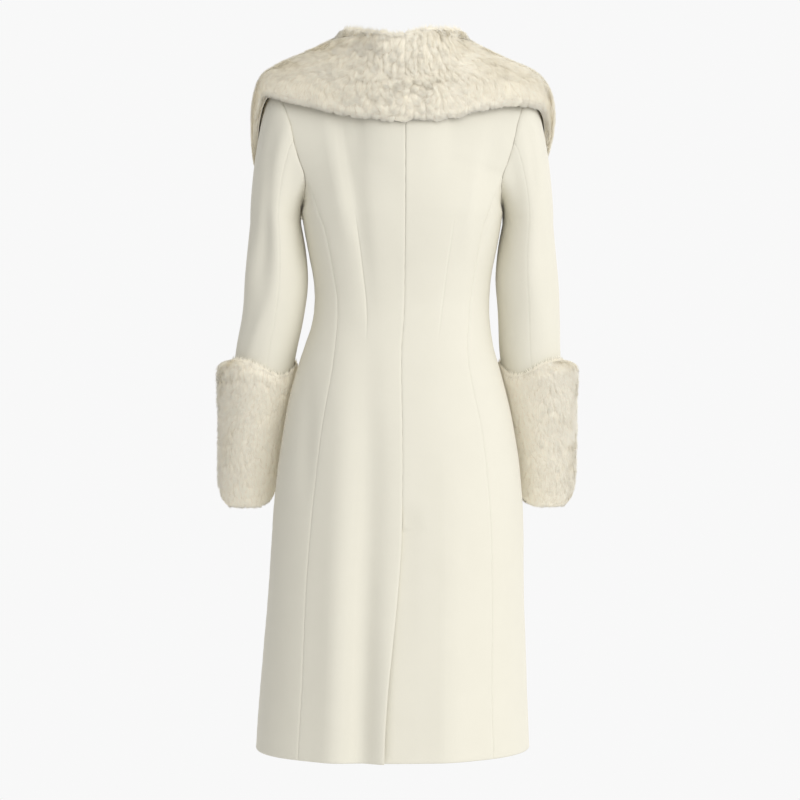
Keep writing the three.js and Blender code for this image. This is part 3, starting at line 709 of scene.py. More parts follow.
@dataclass
class SideFrontPanel(BodyPanel):
    """A side front panel, from the side seam to the front's shaped seam."""

    name = "side_front"
    cut = (158.0, 876.0)

    def plain_rows(self) -> Array:
        """The panel's rows on the wearer's left, before folds and seams."""
        z = self.heights()
        share = steps_to_edges(140, self.step * 0.8)
        end = front_angle(z, SECTIONS.read(z)["front_seam"])[:, None]
        lower = body_point(z[:, None], mix(np.pi / 2, end, share))
        chest = lower[-1]
        top = armhole_at(mix(UNDERARM, FRONT_NOTCH, share))
        seam = line_through((chest[-1], *FRONT_SEAM_TOP, top[-1]))
        up = np.tile((0.0, 0.0, 1.0), (len(chest), 1))
        rising = self.rising_rows(chest, top, np.stack((chest[0], top[0])), seam, up, True)
        return np.vstack((lower, rising))


@dataclass
class FrontPanel(BodyPanel):
    """A front panel, from the front's shaped seam to its lapped edge and the neckline."""

    name = "front"
    cut = (190.0, 1086.0)
    seamed = (True, False, True)

    def plain_rows(self) -> Array:
        """The panel's rows on the wearer's left, before folds and seams."""
        z = self.heights()
        share = steps_to_edges(150, self.step * 0.9)
        rise = np.maximum(z - BREAK_Z, 0)
        edge_x = -FRONT_LAP + rise * 0.66 - 0.0002 * rise**2
        start = front_angle(z, SECTIONS.read(z)["front_seam"])[:, None]
        lower = body_point(z[:, None], mix(start, front_angle(z, edge_x)[:, None], share))
        chest = lower[-1]
        seam = line_through((chest[0], *FRONT_SEAM_TOP, ARMHOLE[FRONT_NOTCH, :3]))
        edge = np.vstack((seam[:-1], armhole_at(np.linspace(FRONT_NOTCH, ROUND, 61))))
        opening = line_through((chest[-1], *NECKLINE))
        across = shares_of(chest)
        top = mix(SHOULDER_END, np.array(NECK_SIDE, float), across[:, None])
        arrive = onto_shoulder(1, 1 - across / 2)
        return np.vstack((lower, self.rising_rows(chest, top, edge, opening, arrive, True)))


@dataclass(frozen=True)
class Crease:
    """A crease of the sleeve, by its turn in degrees and its height."""

    turn: float
    z: float
    turn_spread: float
    z_spread: float
    depth: float
    slant: float = 0.0
    side: Side | None = None

    def at(self, side: Side, turn: Array, z: Array) -> Array:
        """How far the cloth stands out of the plain sleeve."""
        if self.side not in (None, side):
            return np.zeros(np.broadcast_shapes(np.shape(turn), np.shape(z)))
        centre = self.turn + self.slant * (z - self.z)
        around = (np.mod(np.degrees(turn) - centre + 180, 360) - 180) / self.turn_spread
        down = (z - self.z) / self.z_spread
        return self.depth * np.exp(-(around**2) - down**2)


CREASES = (
    Crease(62, -300, 16, 60, -2.6),
    Crease(92, -330, 15, 80, 2.2),
    Crease(40, -400, 18, 50, -2.2),
    Crease(300, -350, 18, 40, -3),
    Crease(255, -385, 16, 30, -2.4),
    Crease(20, -170, 12, 60, -1.4, 0.15),
    Crease(60, -175, 13, 50, -1.8, -0.12, Side.LEFT),
    Crease(72, -170, 8, 55, -1.8, -0.16, Side.RIGHT),
    Crease(52, -150, 12, 50, 1.4, -0.16, Side.RIGHT),
    Crease(38, -230, 12, 70, -2.2, 0.1, Side.LEFT),
    Crease(66, -420, 10, 45, 1.6, 0.25, Side.LEFT),
    Crease(150, -300, 16, 30, -2.0, 0.2),
    Crease(66, -285, 18, 80, -4.2, 0.03, Side.LEFT),
    Crease(80, -150, 14, 55, 2.6, 0.05, Side.LEFT),
    Crease(30, -350, 14, 60, 2.0, -0.1, Side.LEFT),
)


@dataclass
class Sleeve:
    """A two-piece sleeve, from the armhole down into its cuff."""

    side: Side
    step: float = 8.0
    bicep_z: float = -262.0
    end_z: float = -656.0
    head_swell: tuple[float, float] = (28.0, 17.0)
    head_overrun: float = 8.0
    ripples: Ripples = field(default_factory=lambda: Ripples(height=0.3, seed=11))

    @staticmethod
    def ring(z: Array, turn: Array) -> Array:
        """Points of the sleeve's level sections."""
        s = SLEEVE_SECTIONS.read(z)
        return points(s["across"] + s["width"] * np.cos(turn), s["deep"] + s["depth"] * np.sin(turn), z)

    def head(self, place: Array, v: Array) -> Array:
        """Points of the sleeve head, from the armhole at v = 0 out and down to the upper arm at v = 1."""
        turn = armhole_turn(place)
        leave = unit(points(np.full_like(turn, 0.92), 0.35 * np.sin(turn), -0.2 - 0.22 * np.cos(turn)))
        start = armhole_at(place) + leave * SEAM_GAP
        drop = (start[..., 2:] - self.bicep_z + self.head_overrun) * np.array((-0.03, -0.02, -1.0))
        swell = leave * (self.head_swell[0] + self.head_swell[1] * np.cos(turn))[..., None]
        return bend(start, swell, self.ring(np.full_like(turn, self.bicep_z), turn), drop, v)

    def shell(self, part: str, start: float, end: float, cut: tuple[float, float]) -> ClothShell:
        """One panel of the sleeve as a wall of cloth.

        Args:
            part: the panel's name.
            start: the place of its first seam in the round of the armhole.
            end: the place of its last seam.
            cut: the width and length of its cloth before sewing.

        Returns:
            The panel on its own side of the coat.
        """
        span = (end - start) * 20
        place = mix(end, start, steps_to_edges(span, self.step * 0.75))[None, :]
        turn = armhole_turn(place)
        z = mix(self.end_z, self.bicep_z, steps_to_edges(self.bicep_z - self.end_z, self.step, high=False))
        arm = self.ring(z[:, None], turn)
        v = 1 - steps_to_edges(150, self.step * 0.8, low=False)[1:, None, None]
        rows = np.vstack((arm, self.head(place, v)))
        creased = sum(crease.at(self.side, turn, rows[..., 2]) for crease in CREASES)
        rows = rows + grid_normals(rows) * creased[..., None]
        across = lengths_along(np.swapaxes(rows, 0, 1)).T
        upward = lengths_along(rows)
        dips = SLEEVE_SEAM.dip(across, upward) + SLEEVE_SEAM.dip(across[:, -1:] - across, upward)
        dips = dips + SLEEVE_SEAM.dip(upward[-1] - upward, across)
        dips = dips + self.ripples.at(rows * (self.side.value, 1, 1))
        rows = rows + grid_normals(rows) * dips[..., None]
        name = f"{part}_{self.side.word}"
        return ClothShell(f"{name}_cloth", name, on_side(rows, self.side), cut)

    def shells(self) -> list[ClothShell]:
        """The upper and the under panel."""
        upper = self.shell("upper_sleeve", SLEEVE_FRONT_SEAM, ROUND + SLEEVE_BACK_SEAM, (206.0, 610.0))
        under = self.shell("under_sleeve", SLEEVE_BACK_SEAM, SLEEVE_FRONT_SEAM, (215.0, 510.0))
        return [upper, under]


@dataclass(frozen=True)
class Pelt:
    """The room that a fur fills, between its skin and the reach of its pile.

    Rows run from the edge that the pile is combed towards. Heights are 0 on the skin and 1 at the reach.
    Within the rim, hairs keep part of the height that they grow at, and so stand off the edge.
    """

    skin: Array
    reach: Array
    wrap: bool
    rim: float = 6.0
    stand_off: float = 0.55

    def at(self, row: Array, column: Array, height: Array) -> Array:
        """Points inside the fur, by their place on its grid and their height."""
        rows, columns = self.skin.shape[:2]
        r = np.clip(row, 0, rows - 1.001)
        c = np.mod(column, columns) if self.wrap else np.clip(column, 0, columns - 1.001)
        r0, c0 = r.astype(int), c.astype(int)
        r1, c1 = r0 + 1, (c0 + 1) % columns
        up = (row - r0)[..., None]
        along = ((c if self.wrap else column) - c0)[..., None]

        def read(grid: Array) -> Array:
            """Reads one grid between its points, and on beyond its edges."""
            low = mix(grid[r0, c0], grid[r0, c1], along)
            high = mix(grid[r1, c0], grid[r1, c1], along)
            return mix(low, high, up)

        return mix(read(self.skin), read(self.reach), np.asarray(height)[..., None])

    def beyond(
        self, row: Array, run: Array, pitch: Array, column: Array, height: Array, fringe: Array
    ) -> Array:
        """Points some way along the rows, running on straight past the fur's first and last row.

        Args:
            row: the rows to start from.
            run: how many millimetres to go.
            pitch: how many rows there are to a millimetre.
            column: the columns of the points.
            height: their heights.
            fringe: how many millimetres each may run past the first row.

        Returns:
            The points.
        """
        rows, columns = self.skin.shape[:2]
        aim = row + run * pitch
        aim = np.maximum(aim, -fringe * pitch)
        held = np.clip(aim, 0, rows - 1.001)
        j = np.mod(column.astype(int), columns) if self.wrap else np.clip(column.astype(int), 0, columns - 1)
        first, last = unit(self.skin[4] - self.skin[0])[j], unit(self.skin[-1] - self.skin[-5])[j]
        way = np.where((aim < 0)[:, None], first, last)
        flat = np.zeros_like(height)
        foot = self.at(held, column, flat)
        rise = self.at(held, column, height) - foot
        kept = self.at(row, column, height) - self.at(row, column, flat)
        from_rim = np.minimum(held, rows - 1 - held) / pitch
        near = self.stand_off * np.exp(-((from_rim / self.rim) ** 2))
        return foot + mix(rise, kept, near[:, None]) + way * ((aim - held) / pitch)[:, None]

    def scales(self) -> tuple[Array, Array]:
        """How many millimetres there are to a row and to a column, at each point."""
        up = np.linalg.norm(np.gradient(self.reach, axis=0), axis=-1)
        along = np.linalg.norm(np.gradient(self.reach, axis=1), axis=-1)
        return np.maximum(up, 0.4), np.maximum(along, 0.4)

    def scatter(self, count: int, rng: np.random.Generator) -> tuple[Array, Array]:
        """Places spread evenly over the fur.

        Args:
            count: how many places.
            rng: the source of chance.

        Returns:
            Their rows and columns.
        """
        up, along = self.scales()
        area = up * along
        area = area[:-1] if self.wrap else area[:-1, :-1]
        cell = rng.choice(area.size, size=count, p=(area / area.sum()).ravel())
        row, column = np.unravel_index(cell, area.shape)
        return row + rng.random(count), column + rng.random(count)


@dataclass(frozen=True)
class Flow:
    """The way that a fur's hairs are turned from their comb, as a smooth field in space."""

    length: float
    seed: int

    def at(self, p: Array) -> Array:
        """The turn at each point, from about -1 to 1."""
        rng = np.random.default_rng(self.seed)
        total = np.zeros(len(p))
        for k in range(6):
            way = unit(rng.normal(size=3))
            size = self.length * (0.6 + 0.25 * k)
            total += np.sin(p @ way * 2 * np.pi / size + rng.uniform(0, 2 * np.pi))
        return total / 2.4


@dataclass(frozen=True)
class Pile:
    """How a fur's hairs grow: in locks whose hairs lean the same way and close to a tip."""

    hairs: int
    lock_size: float
    unrest: Callable[[Array], Array]
    seed: int
    lock_fall: float = 0.6
    calm_root: float = 0.82
    curly_root: float = 0.66
    fringe: float = 5.0
    lean: float = 7.0
    sweep: float = 4.0
    ruff: float = 8.0
    width: float = 0.8
    gather: float = 0.42
    curl: float = 0.6
    flow: float = 0.7
    flow_length: float = 70.0

    def roots(self, p: Array) -> Array:
        """How high in the pile its hairs are seen to start, which is lower where it curls."""
        return mix(self.calm_root, self.curly_root, np.clip(self.unrest(p), 0, 1))

    def tufts(self, pelt: Pelt) -> tuple[Array, Array, Array, int]:
        """Makes the hairs, each a narrow blade with a point.

        Args:
            pelt: the room that the fur fills.

        Returns:
            The three corners of each hair, their normals, their tones and how many locks there are.
        """
        rng = np.random.default_rng(self.seed)
        up, along = pelt.scales()
        area = float((up * along).sum())
        locks = max(int(area / self.lock_size**2), 8)
        lock_row, lock_column = pelt.scatter(locks, rng)
        row, column = pelt.scatter(self.hairs, rng)
        centres = pelt.at(lock_row, lock_column, np.ones(locks))
        tree = kdtree.KDTree(locks)
        narrow = np.array((1, 1, self.lock_fall))
        for k, centre in enumerate(centres * narrow):
            tree.insert(Vector(centre), k)
        tree.balance()
        heads = pelt.at(row, column, np.ones(self.hairs))
        own = np.array([tree.find(Vector(p))[1] for p in heads * narrow])

        unrest = self.unrest(centres)
        turn = self.flow * Flow(self.flow_length, self.seed).at(centres)
        turn = turn + unrest * (self.curl * rng.normal(0, 1.6, locks))
        far = self.lean * rng.uniform(0.6, 1.15, locks)
        lock_down, lock_across = -self.sweep - far * np.cos(turn), far * np.sin(turn)
        lock_high = 1 - unrest * rng.uniform(0, 0.18, locks)
        stray = 0.9 + 1.2 * unrest[own]
        hair_down, hair_across = rng.normal(0, 1, self.hairs) * stray, rng.normal(0, 1, self.hairs) * stray
        rows, columns = pelt.skin.shape[:2]

        def per_mm(r: Array, c: Array) -> tuple[Array, Array]:
            """Grid steps to a millimetre at these places."""
            i = np.clip(r.astype(int), 0, rows - 1)
            j = np.mod(c.astype(int), columns)
            return 1 / up[i, j], 1 / along[i, j]

        dr, dc = per_mm(row, column)
        down, across = lock_down[own] + hair_down, lock_across[own] + hair_across
        at_top = np.exp(-(((rows - 1 - row) / dr / self.ruff) ** 2))
        down = mix(down, self.ruff * rng.uniform(0.1, 1.1, self.hairs), at_top)
        root = pelt.at(row, column, self.roots(heads))
        high = lock_high[own] * rng.uniform(0.9, 1.03, self.hairs)
        past = self.fringe * rng.uniform(0.2, 1.1, self.hairs)
        tip = pelt.beyond(row, down, dr, column + across * dc, high, past)
        ldr, ldc = per_mm(lock_row, lock_column)
        lock_side = lock_column + lock_across * ldc
        past = self.fringe * rng.uniform(0.2, 1.1, locks)
        lock_tip = pelt.beyond(lock_row, lock_down, ldr, lock_side, lock_high, past)[own]
        close = self.gather * (0.3 + unrest[own]) * rng.uniform(0.4, 1, self.hairs) * (1 - at_top)
        tip = mix(tip, lock_tip, close[:, None])

        i, j = np.clip(row.astype(int), 0, rows - 1), np.mod(column.astype(int), columns)
        from_skin = grid_normals(pelt.skin, pelt.wrap)[i, j]
        out = unit(mix(grid_normals(pelt.reach, pelt.wrap)[i, j], from_skin, 0.2 + 0.6 * at_top[:, None]))
        across_way = unit(np.cross(tip - root, unit(out + from_skin)))
        half = (self.width * rng.uniform(0.7, 1.3, self.hairs) / 2)[:, None]
        corners = np.stack((root - across_way * half, root + across_way * half, tip), axis=1)
        slope = unit(tip - root)
        side = (heads - centres[own]) / self.lock_size
        shade = out + 0.2 * (slope - (slope * out).sum(-1, keepdims=True) * out)
        shade = shade + (0.04 + 0.16 * unrest[own])[:, None] * side + rng.normal(0, 0.1, side.shape)
        facing = np.repeat(unit(shade)[:, None], 3, axis=1)
        lock_tone = ((0.03 + 0.06 * unrest) * rng.normal(0, 1, locks))[own] + rng.normal(0, 0.16, self.hairs)
        tone = np.clip(np.array((0.4, 0.4, 0.9)) + lock_tone[:, None], 0.1, 1)
        return corners, facing, tone, locks


@dataclass
class FurPiece:
    """A fur: its skin, a soft underlayer, and the hairs that stand in it."""

    name: str
    node: str
    pelt: Pelt
    pile: Pile

    def build(self, finish: "Finish") -> bpy.types.Object:
        """Makes the fur as one piece and dresses it."""
        pelt = self.pelt
        rows, columns = pelt.skin.shape[:2]
        r, c = np.meshgrid(np.arange(rows), np.arange(columns), indexing="ij")
        soft = Ripples(height=0.035, lengths=(34, 21, 15), seed=self.pile.seed).at(pelt.reach)
        low = self.pile.roots(pelt.reach.reshape(-1, 3)).reshape(rows, columns)
        under = pelt.at(r.astype(float), c.astype(float), low + 0.03 + soft)
        base = np.concatenate((under.reshape(-1, 3), pelt.skin.reshape(-1, 3)))
        walls = wall_faces(rows, columns, pelt.wrap)
        corners, facing, tone, locks = self.pile.tufts(pelt)
        hairs = len(corners)
        vertices = np.concatenate((base, corners.reshape(-1, 3)))
        blades = len(base) + np.arange(hairs * 3).reshape(-1, 3)
        mesh = metres_mesh(self.name, vertices, walls, blades)
        skin_normals = grid_normals(pelt.reach, pelt.wrap).reshape(-1, 3)
        normals = np.concatenate((skin_normals, -skin_normals, facing.reshape(-1, 3)))
        mesh.normals_split_custom_set_from_vertices(normals.astype(np.float32))
        calm = (low - self.pile.curly_root) / (self.pile.calm_root - self.pile.curly_root)
        # The tone sets the fur's colour and also masks its painted glow: hairs glow fully, the underlayer
        # faintly and more where the pile is calm, the skin not at all
        tones = np.concatenate((0.02 + 0.05 * calm.ravel(), np.zeros(calm.size), tone.ravel()))
        shade = mesh.attributes.new("tone", "FLOAT", "POINT")
        shade.data.foreach_set("value", tones.astype(np.float32))
        piece = put(self.name, mesh)
        dress(piece, finish, self.node)
        triangles = 2 * len(walls) + hairs
        log.info("%s: %d hairs in %d locks, %d triangles", self.name, hairs, locks, triangles)
        return piece


CUFF_REACH = SizeTable(
    ("turn", "reach"),
    ((-90, 27), (0, 30), (60, 24), (105, 15), (150, 10), (195, 12), (235, 22), (270, 27), (360, 30)),
)


@dataclass
class Cuff:
    """A deep fur cuff, thick on its outer side and in front and pressed thin against the body."""

    side: Side
    top_z: float = -462.0
    dip_z: float = -486.0
    bottom_z: float = -680.0
    inner_rise: float = 20.0
    edge_reach: float = 2.5
    rounds: tuple[float, float] = (0.075, 0.2)
    clearance: float = 1.1
    hairs: int = 150000
    dip_at: tuple[float, float] = (125.0, 48.0)
    inner_at: tuple[float, float] = (180.0, 40.0)
    taper: float = 0.25
    body_gap: float = 2.5
    least_reach: float = 3.0
    press: float = 0.5
    presses: int = 60

    def ring(self, share: Array, turn: Array, raised: bool) -> Array:
        """Points of the cuff, on the skin or at the reach of the pile.

        Args:
            share: how far down the cuff, from 0 at its top to 1.
            turn: how far round it, in radians.
            raised: whether at the reach of the pile.

        Returns:
            The points on the wearer's left.
        """
        degrees = np.degrees(turn)
        dip = np.exp(-(((degrees - self.dip_at[0]) / self.dip_at[1]) ** 2))
        inner = np.exp(-(((degrees - self.inner_at[0]) / self.inner_at[1]) ** 2))
        bottom = self.bottom_z + self.inner_rise * inner
        z = mix(mix(self.top_z, self.dip_z, dip), bottom, share)
        held = np.maximum(z, Sleeve.end_z)
        skin = Sleeve.ring(held, turn)
        s = SLEEVE_SECTIONS.read(held)
        way = ((skin[..., 0] - s["across"]) / s["width"], (skin[..., 1] - s["deep"]) / s["depth"])
        away = unit(points(way[0], way[1], np.zeros_like(z)))
        high = np.maximum(1 - share / self.rounds[0], 0)
        low = np.maximum(1 - (1 - share) / self.rounds[1], 0)
        rounded = np.sqrt((1 - high**2) * (1 - low**2))
        edge = self.edge_reach
        fill = edge + (CUFF_REACH.read(degrees)["reach"] - edge) * rounded * (1 - self.taper * share)
        reach = fill if raised else np.full_like(fill, self.clearance)
        if raised:
            for _ in range(self.presses):
                inside = self.within_body(skin + away * reach[..., None], self.body_gap)
                reach = np.where(inside & (reach > self.least_reach), reach - self.press, reach)
        placed = skin + away * reach[..., None]
        placed[..., 2] = z
        return placed

    def unrest(self, p: Array) -> Array:
        """How curly the pile is: the left cuff is the more tousled one."""
        return np.full(len(p), 0.5 if self.side is Side.LEFT else 0.35)

    @staticmethod
    def within_body(p: Array, margin: float) -> Array:
        """Whether points lie inside the body, let out all round by a margin."""
        s = SECTIONS.read(p[..., 2])
        deep = np.where(p[..., 1] > 0, s["back"], s["front"]) + margin
        across = (np.abs(p[..., 0]) / (s["width"] + margin)) ** s["corner"]
        return across + (np.abs(p[..., 1]) / deep) ** s["corner"] < 1

    def fur(self) -> FurPiece:
        """The cuff as a fur on its own side of the coat."""
        turn = np.linspace(2 * np.pi, 0, 84, endpoint=False)[None, :]
        share = (1 + np.cos(np.linspace(0, np.pi, 40)))[:, None] / 2
        skin = on_side(self.ring(share, turn, False), self.side)
        reach = on_side(self.ring(share, turn, True), self.side)
        name = f"fur_cuff_{self.side.word}"
        pile = Pile(
            hairs=self.hairs, lock_size=6.0, lean=5.0, sweep=3.0, fringe=4.0, flow=0.5, flow_length=45,
            unrest=self.unrest, seed=21 + self.side.value,
        )
        return FurPiece(f"{name}_pile", name, Pelt(skin, reach, True), pile)


@dataclass
class Support:
    """The shape that the collar lies on: how far body and sleeves reach from a line up through the neck."""

    axis_y: float = 10.0
    top_z: float = 20.0
    bottom_z: float = -360.0
    step_z: float = 5.0
    step_turn: float = 3.0
    fall: float = 1.5
    bridge_rounds: int = 60
    bridge_spans: tuple[int, ...] = (1, 3, 7)
    reach: Array = field(default_factory=lambda: np.zeros((1, 1)))

    def lay_over(self, faces: list[Array]) -> None:
        """Finds the reach of the pieces by direction and height, and bridges the hollows between them."""
        turns = round(360 / self.step_turn)
        levels = round((self.top_z - self.bottom_z) / self.step_z) + 1
        reach = np.zeros((turns, levels))
        for face in faces:
            p = face.reshape(-1, 3)
            turn = np.mod(np.degrees(np.arctan2(p[:, 0], p[:, 1] - self.axis_y)), 360)
            d = (turn / self.step_turn).astype(int)
            k = np.floor((self.top_z - p[:, 2]) / self.step_z).astype(int)
            far = np.hypot(p[:, 0], p[:, 1] - self.axis_y)
            kept = (k >= 0) & (k < levels - 1)
            for a in (d[kept] % turns, (d[kept] + 1) % turns):
                for level in (k[kept], k[kept] + 1):
                    np.maximum.at(reach, (a, level), far[kept])
        for row in reach:
            lowest = int(np.argmax(row > 0))
            row[:lowest] = row[lowest]
            for k in range(lowest + 1, levels):
                row[k] = max(row[k], row[k - 1] - self.fall)
        for _ in range(self.bridge_rounds):
            before = reach.copy()
            for span in self.bridge_spans:
                left, right = np.roll(before, -span, axis=0), np.roll(before, span, axis=0)
                chord = 2 * left * right * math.cos(math.radians(span * self.step_turn)) / (left + right)
                reach = np.maximum(reach, chord)
        self.reach = reach

    def at(self, turn: Array, z: Array) -> Array:
        """How far out the support lies in a direction, in degrees, at a height."""
        turns, levels = self.reach.shape
        d = np.mod(turn, 360) / self.step_turn
        k = np.clip((self.top_z - z) / self.step_z, 0, levels - 1.001)
        d0, k0 = np.floor(d).astype(int), np.floor(k).astype(int)

        def level(a: Array) -> Array:
            """Reads one direction between two heights."""
            return mix(self.reach[a % turns, k0], self.reach[a % turns, k0 + 1], k - k0)

        return mix(level(d0), level(d0 + 1), d - d0)


# The collar's stations from the centre back round to the front: direction and height of its neck edge and
# of its outer edge, and the share of the full pile. The first row lies past the middle, to round the back
COLLAR_COLUMNS = ("place", "neck_turn", "neck_z", "outer_turn", "outer_z", "pile")
COLLAR_STATIONS = {
    Side.LEFT: SizeTable(
        COLLAR_COLUMNS,
        (
            (-1, -22, 8, -22, -121, 1),
            (0, 0, 5, 0, -124, 1),
            (1, 22, 8, 22, -121, 1),
            (2, 45, 14, 42, -115, 1),
            (3, 68, 21, 60, -104, 1),
            (4, 88, 23, 76, -87, 1),
            (5, 98, 18, 86, -80, 1),
            (6, 107, 1, 95, -126, 1),
            (7, 118, -22, 104, -188, 1),
            (8, 130, -58, 114, -221, 0.97),
            (9, 142, -104, 126, -247, 0.94),
            (10, 153, -155, 139, -272, 0.9),
            (11, 163, -212, 150, -298, 0.84),
            (12, 171.5, -256, 158, -318, 0.74),
            (13, 177, -284, 164, -332, 0.6),
        ),
    ),
    Side.RIGHT: SizeTable(
        COLLAR_COLUMNS,
        (
            (-1, -22, 13, -22, -122, 1),
            (0, 0, 5, 0, -124, 1),
            (1, 22, 13, 22, -122, 1),
            (2, 45, 18, 42, -115, 1),
            (3, 68, 22, 60, -101, 1),
            (4, 88, 23, 76, -94, 1),
            (5, 98, 18, 88, -102, 1.12),
            (6, 107, 1, 97, -138, 1.34),
            (7, 118, -22, 105, -178, 1.34),
            (8, 130, -58, 114, -213, 1.15),
            (9, 142, -104, 126, -244, 0.94),
            (10, 153, -155, 139, -272, 0.9),
            (11, 163, -212, 152, -300, 0.86),
            (12, 173, -260, 164, -324, 0.78),
            (13, 184, -304, 177, -341, 0.66),
            (14, 193, -334, 190, -347, 0.5),
        ),
    ),
}
SHOULDER_THIN = {Side.LEFT: 0.2, Side.RIGHT: 0.36}


@dataclass
class Collar:
    """One half of the fur shawl collar, from the centre back round to the front's break."""

    side: Side
    support: Support
    pile_reach: float = 24.0
    edge_reach: float = 4.0
    lift: float = 1.6
    hairs: int = 160000

    def fur(self) -> FurPiece:
        """The half collar as a fur."""
        table = COLLAR_STATIONS[self.side]
        end = table.rows[-1][0]
        place = np.linspace(0, end, 88)[None, :]
        t = np.linspace(1, 0, 34)[:, None]
        s = table.read(place)
        turn = mix(s["neck_turn"], s["outer_turn"], t)
        z = mix(s["neck_z"] + self.ragged_neck(place), s["outer_z"] + self.ragged_edge(place), t)
        reach = self.support.at(self.side.value * turn, z) + self.lift
        angle = np.radians(turn)
        skin = points(reach * np.sin(angle), self.support.axis_y + reach * np.cos(angle), z)
        skin = self.softened(skin)
        skin[:, 0, 0] = SEAM_GAP / 2
        edge = (1 - np.abs(2 * t - 1) ** 3.2) ** (1 / mix(2.4, 1.9, t))
        tip = 1 if self.side is Side.LEFT else 1 - 0.5 * smooth(place / end, 0.9, 1)
        low = 1 - SHOULDER_THIN[self.side] * smooth(t, 0, 0.3) * (1 - smooth(t, 0.4, 0.8))
        pile = self.edge_reach + (self.pile_reach * s["pile"] - self.edge_reach) * edge * tip * low
        outer = skin + grid_normals(skin) * pile[..., None]
        outer[:, 0, 0] = skin[:, 0, 0]
        name = f"fur_collar_{self.side.word}"
        skin, outer = (on_side(grid, self.side, False) for grid in (skin, outer))
        hair = Pile(hairs=self.hairs, lock_size=8.5, unrest=self.unrest, seed=5 + self.side.value)
        return FurPiece(f"{name}_pile", name, Pelt(skin, outer, False), hair)

    def ragged_edge(self, place: Array) -> Array:
        """How far the outer edge's pile rises and falls along it, with a notch beside the middle."""
        wave = 1.3 * np.sin(place * 6.1 + self.side.value) + 0.9 * np.sin(place * 13.7 + 2)
        notch = 4 * np.exp(-(((place - 0.4) / 0.2) ** 2)) if self.side is Side.RIGHT else 0
        return wave * smooth(place, 0.1, 0.6) + notch

    def ragged_neck(self, place: Array) -> Array:
        """How far the neck edge's pile rises and falls along it, with a dip beside the middle."""
        wave = 1.2 * np.sin(place * 7.3 + 1) + 0.8 * np.sin(place * 15.1)
        dip = 5 * np.exp(-(((place - 0.55) / 0.3) ** 2)) if self.side is Side.LEFT else 0
        return wave * smooth(place, 0.1, 0.6) - dip

    @staticmethod
    def unrest(p: Array) -> Array:
        """How curly the pile is: tousled at the centre back, combed smooth towards the shoulders."""
        centre = np.exp(-((p[:, 0] / 78) ** 2)) * (p[:, 1] > 0)
        return 0.22 + 0.85 * centre

    @staticmethod
    def softened(grid: Array, rounds: int = 6) -> Array:
        """The grid with its small unevenness smoothed out, and its rims only along their length."""
        for _ in range(rounds):
            inner = (grid[2:, 1:-1] + grid[:-2, 1:-1] + grid[1:-1, 2:] + grid[1:-1, :-2]) / 4
            grid = grid.copy()
            grid[1:-1, 1:-1] = mix(grid[1:-1, 1:-1], inner, 0.5)
            rims = grid[[0, -1]]
            grid[[0, -1], 1:-1] = mix(rims[:, 1:-1], (rims[:, 2:] + rims[:, :-2]) / 2, 0.5)
        return grid


@dataclass
class Buttons:
    """Covered buttons on the lapped front."""

    heights: tuple[float, ...] = (-382.0, -472.0, -562.0)
    radius: float = 12.0
    rise: float = 6.5
    gap: float = 0.8
    rings: int = 12
    around: int = 48

    def build(self, finish: "Finish") -> None:
        """Makes each button as a low dome of cloth that is drawn in round its rim."""
        share = np.linspace(0, 1, self.rings)
        angle = share * np.pi / 2
        edge, dome = angle[1:], angle[2:-1]
        radius = np.concatenate(((0.0, 0.5, 0.86), 0.86 + 0.14 * np.sin(edge), np.cos(dome) ** 0.8, (0.02,)))
        rim, crown = 0.3 * (1 - np.cos(edge)), 0.3 + 0.7 * np.sin(dome) ** 0.9
        height = np.concatenate(((0.0, 0.0, 0.0), rim, crown, (1.0,)))
        turn = np.linspace(0, 2 * np.pi, self.around, endpoint=False)
        for number, z in enumerate(self.heights, 1):
            x = self.radius * radius[:, None] * np.cos(turn)
            up = z + self.radius * radius[:, None] * np.sin(turn)
            s = SECTIONS.read(up)
            out = s["front"] * (1 - (np.abs(x) / s["width"]) ** s["corner"]) ** (1 / s["corner"])
            y = -out - LAP_STEP - self.gap - self.rise * height[:, None]
            grid = points(x + s["sway"], y, up)
            rows = len(grid)
            i, j = np.meshgrid(np.arange(rows - 1), np.arange(self.around), indexing="ij")
            a, b = i * self.around + j, i * self.around + (j + 1) % self.around
            faces = np.stack((a, b, b + self.around, a + self.around), axis=-1).reshape(-1, 4)
            name = f"button_{number}"
            piece = put(f"{name}_cover", metres_mesh(f"{name}_cover", grid.reshape(-1, 3), faces))
            dress(piece, finish, name)
            log.info("%s: %d faces", piece.name, len(faces))


class Wire:
    """A number in a material, as a socket that the usual operators work on."""

    def __init__(self, nodes: "NodeSet", socket: bpy.types.NodeSocket) -> None:
        """Keeps the socket and the material's nodes."""
        self.nodes = nodes
        self.socket = socket

    def _math(self, operation: str, first: "Wire | float", second: "Wire | float") -> "Wire":
        """Adds a Math node."""
        return self.nodes.add("ShaderNodeMath", {"operation": operation}, {0: first, 1: second})

    def __add__(self, other: "Wire | float") -> "Wire":
        """Sum."""
        return self._math("ADD", self, other)

    __radd__ = __add__

    def __mul__(self, other: "Wire | float") -> "Wire":
        """Product."""
        return self._math("MULTIPLY", self, other)

    __rmul__ = __mul__


